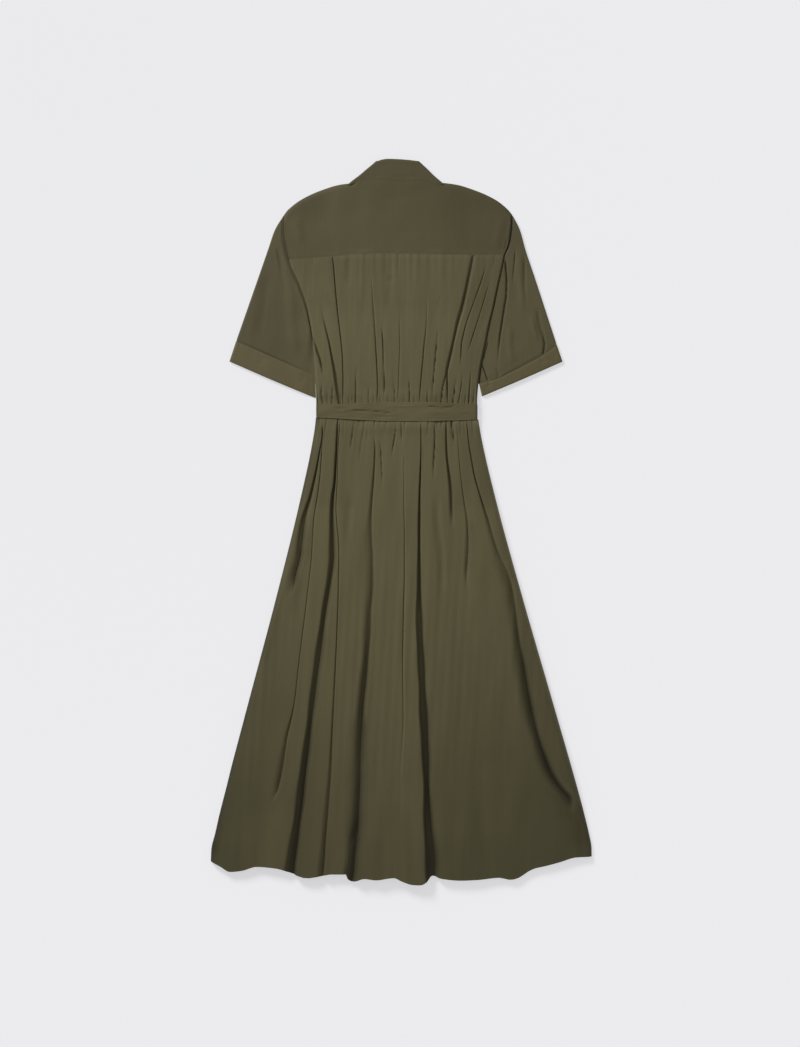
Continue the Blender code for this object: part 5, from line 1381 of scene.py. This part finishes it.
def make_placket(buttons, material):
    """The band down the front's middle: face down over its buttons, stitched along both edges."""
    boxes = [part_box(node) for node in buttons]      # in metres
    button_top = max(high.z for _, high in boxes) / MM
    y = np.linspace(front_hem_y(MIDDLE_X), PLACKET_TOP_Y, 400)[:, None]
    across = np.concatenate([[-PLACKET_HALF, -15.2, -14.9], np.linspace(-14.3, 14.3, 25),
                             [14.9, 15.2, PLACKET_HALF]])[None, :]
    x = MIDDLE_X + across
    under = np.where(y < 430.0, front_under(MIDDLE_X, y), 0.0)
    over_panel = front_under(x, y) + FRONT_PLY
    inside = ease((PLACKET_HALF - np.abs(across)) / 2.6)
    near_button = np.zeros_like(x + y)
    for low, high in boxes:
        centre = (low + high) / 2 / MM
        distance = np.hypot(x - centre.x, y - centre.y)
        near_button = np.maximum(near_button, ease((6.6 - distance) / 1.2))
    stitched = sum(0.22 * bell(np.abs(across), line, 0.5) for line in PLACKET_STITCHES)
    relief = 0.12 * near_button - stitched + 0.12 * ripple(x, 0.5 * y, 26.0, 10)
    top = under + mix(PLACKET_TOP, PLACKET_OVER_BELT, at_belt(y)) + relief * inside
    upper_z = mix(over_panel + 0.25, top, inside)
    lower_z = np.where(np.abs(across) < 15.0, under + (button_top + 0.05) * near_button, over_panel - 0.1)
    lower_z = np.minimum(lower_z, upper_z - 0.2)
    piece = shell("placket_cloth", stack(x, y, upper_z), stack(x, y, lower_z), material)
    dress(piece, "placket")


BUTTON_SIDES, HOLE_SIDES = 40, 14
BUTTON_CRISP = 35.0       # in degrees
HOLE_RADIUS = 0.8
HOLE_OUT = 1.15           # each hole's centre lies this far from the button's, across and along
BUTTON_PROFILE = ((0.0, 0.62), (0.56, 0.62), (0.68, 0.34), (0.84, 0.0), (0.94, 0.06), (1.0, 0.4), (0.98, 0.8),
                  (0.9, 1.0), (0.0, 1.0))


def turned(mesh, centre, low, high, profile, count):
    """Adds a body turned round an upright axis: (radius, share of the height) points."""
    rings = []
    for radius, height in profile:
        z = mix(low, high, height)
        angles = [2.0 * math.pi * k / count for k in range(count if radius else 1)]
        ring = [mesh.verts.new((centre[0] + radius * math.cos(a), centre[1] + radius * math.sin(a), z))
                for a in angles]
        rings.append(ring if radius else ring * count)
    for ring, above in zip(rings, rings[1:]):
        for k in range(count):
            n = (k + 1) % count
            mesh.faces.new(list(dict.fromkeys((ring[k], ring[n], above[n], above[k]))))


def placed(name, mesh, material):
    """A new object made of a bmesh, which is used up."""
    data = bpy.data.meshes.new(name)
    mesh.normal_update()
    mesh.to_mesh(data)
    mesh.free()
    data.materials.append(material)
    return linked(name, data)


def make_button(node, material):
    """A round resin button with a raised rim and four drilled holes, face down."""
    low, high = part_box(node)
    centre = (low + high) / 2
    radius = (high.x - low.x) / 2
    mesh = bmesh.new()
    turned(mesh, centre, low.z, high.z, [(radius * share, height) for share, height in BUTTON_PROFILE],
           BUTTON_SIDES)
    piece = placed(node + "_turned", mesh, material)
    drills = bmesh.new()
    hole = HOLE_RADIUS * MM
    for i in (-1, 1):
        for j in (-1, 1):
            place = (centre[0] + HOLE_OUT * MM * i, centre[1] + HOLE_OUT * MM * j)
            turned(drills, place, low.z, high.z, ((0.0, -0.2), (hole, -0.2), (hole, 1.2), (0.0, 1.2)),
                   HOLE_SIDES)
    drills = placed(node + "_drills", drills, material)
    cut = piece.modifiers.new("holes", "BOOLEAN")
    cut.operation = "DIFFERENCE"
    cut.solver = "EXACT"
    cut.object = drills
    graph = bpy.context.evaluated_depsgraph_get()
    drilled = bpy.data.meshes.new_from_object(piece.evaluated_get(graph))
    piece.modifiers.clear()
    piece.data = drilled
    smooth(drilled, BUTTON_CRISP)
    bpy.data.objects.remove(drills)
    dress(piece, node, slot="buttons")


THREAD_HALF_WIDTH, THREAD_HALF_HEIGHT, THREAD_SAG = 0.3, 0.26, 0.3


def add_stitch(mesh, x, y, z, sag):
    """A thread along y between two holes, whose ends go into them."""
    rings = []
    for k in np.linspace(-1.0, 1.0, 9):
        middle = z + sag * k ** 4
        rings.append([mesh.verts.new((x + THREAD_HALF_WIDTH * MM * math.cos(a), y + HOLE_OUT * MM * k,
                                      middle + THREAD_HALF_HEIGHT * MM * math.sin(a)))
                      for a in np.radians(np.arange(0.0, 360.0, 45.0))])
    for before, after in zip(rings, rings[1:]):
        for k in range(8):
            mesh.faces.new((before[k], before[k - 1], after[k - 1], after[k]))
    mesh.faces.new(rings[0])
    mesh.faces.new(rings[-1][::-1])


def make_button_threads(buttons, material):
    """Two stitches through each button's holes, on both of its faces."""
    mesh = bmesh.new()
    for node in buttons:
        low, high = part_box(node)
        centre = (low + high) / 2
        for side in (-1, 1):
            x = centre.x + side * HOLE_OUT * MM
            add_stitch(mesh, x, centre.y, mix(low.z, high.z, 0.56), THREAD_SAG * MM)
            add_stitch(mesh, x, centre.y, high.z, -THREAD_SAG * MM)
    bmesh.ops.recalc_face_normals(mesh, faces=mesh.faces)
    piece = placed("button_threads", mesh, material)
    piece.data.shade_smooth()
    dress(piece)


# --- scene ----------------------------------------------------------------------------------------

LAMP = (-1.5, 1.7, 1.4)
LAMP_POWER = 62.0
LAMP_SIZE = 0.9
SKY = 0.36                # the strength of the even light from all round
VIEW_MIDDLE = (-0.0017, -0.0034)
VIEW_HEIGHT = 1.78        # how much the camera shows from top to bottom
FLOOR_TONE = 0.842        # of the floor wherever no shadow falls on it
SHADOW_SHARE = 0.16       # of that tone, how much a shadow can take away
FLOOR_HALF = 20.0
FLOOR_Z = -0.0002         # just below the dress
FLOOR_CELLS = 128         # along each side, small in the middle and larger outwards


def make_stage():
    """A pale sheet of paper whose own glow evens out the lamp's fall-off, so only shadows show on it."""
    line = FLOOR_HALF * np.linspace(-1.0, 1.0, FLOOR_CELLS + 1) ** 3
    x, y = np.meshgrid(line, line)
    away = (x - LAMP[0]) ** 2 + (y - LAMP[1]) ** 2 + LAMP[2] ** 2
    facing = LAMP[2] / np.sqrt(away)
    aimed = (LAMP[2] ** 2 - (x - LAMP[0]) * LAMP[0] - (y - LAMP[1]) * LAMP[1]) / np.sqrt(away)
    aimed = np.clip(aimed / math.hypot(*LAMP), 0.02, 1.0)
    lit = LAMP_POWER / math.pi ** 2 * facing * aimed / away
    paper = np.minimum(SHADOW_SHARE / lit, 0.5)
    nodes = Nodes("floor_paper")
    nodes.fill(nodes.shader, {
        "Base Color": nodes.attribute("paper"),
        "Emission Strength": nodes.attribute("glow"),
        "Emission Color": (0.99, 0.99, 1.03, 1.0),
        "Roughness": 1.0,
        "Specular IOR Level": 0.0,
    })
    mesh = bpy.data.meshes.new("floor")
    cells = quads(np.arange(x.size).reshape(x.shape))
    mesh.from_pydata(stack(x, y, 0.0).reshape(-1, 3).tolist(), [], cells.tolist())
    add_values(mesh, "paper", paper)
    add_values(mesh, "glow", FLOOR_TONE - paper * (lit + SKY))
    mesh.materials.append(nodes.material)
    floor = linked("floor", mesh)
    floor.location.z = FLOOR_Z


def make_light():
    world = bpy.data.worlds.new("studio")
    world.use_nodes = True
    background = world.node_tree.nodes["Background"]
    background.inputs["Color"].default_value = (1.0, 1.0, 1.0, 1.0)
    background.inputs["Strength"].default_value = SKY
    bpy.context.scene.world = world
    key = bpy.data.lights.new("key", "AREA")
    key.shape = "DISK"
    key.size = LAMP_SIZE
    key.energy = LAMP_POWER
    lamp = linked("key", key)
    lamp.location = LAMP
    lamp.rotation_euler = (-lamp.location).to_track_quat("-Z", "Y").to_euler()


def make_camera():
    """Straight above the dress, as high up as its lens needs."""
    lens, sensor = 85.0, 36.0
    camera = bpy.data.cameras.new("camera")
    camera.lens = lens
    camera.sensor_width = sensor
    camera.clip_end = 50.0
    eye = linked("camera", camera)
    eye.location = (*VIEW_MIDDLE, VIEW_HEIGHT * lens / sensor)
    bpy.context.scene.camera = eye


def main():
    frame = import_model()
    buttons = sorted(node for node in frame["nodes"] if node.startswith("button_"))
    bpy.context.scene.view_settings.view_transform = "Standard"
    # One cloth in several copies: the yoke, sleeves and collar get darker base tones than the bodice and
    # skirt, as painted shade
    bodice = cloth("cloth_bodice", (93, 87, 60))
    skirt = cloth("cloth_skirt", (92, 86, 59))
    yoke = cloth("cloth_yoke", (80, 74, 50))
    sleeve = cloth("cloth_sleeve", (84, 78, 54), 0.4)
    collar = cloth("cloth_collar", (76, 70, 48), math.pi / 2)
    firm = cloth("cloth_belt", (91, 84, 58), math.pi / 2)
    hidden = cloth("cloth_front", (90, 84, 58))
    button = plain("button_resin", (58, 52, 38), 0.3)
    thread = plain("thread", (84, 78, 56), 0.7)
    make_back_skirt(skirt)
    make_back_bodice(bodice)
    make_yoke(yoke)
    for side in SLEEVES:
        make_sleeve(side, sleeve)
        make_cuff(side, firm)
    make_collar(collar)
    make_collar_stand(collar)
    make_belt(firm)
    thread_loop("belt_loop_right", 127.0, 171.5, 214.0, 8.6, thread)
    thread_loop("belt_loop_left", -142.2, 173.0, 203.0, 7.2, thread)
    make_front(hidden)
    make_placket(buttons, hidden)
    for node in buttons:
        make_button(node, button)
    make_button_threads(buttons, thread)
    make_stage()
    make_light()
    make_camera()


main()
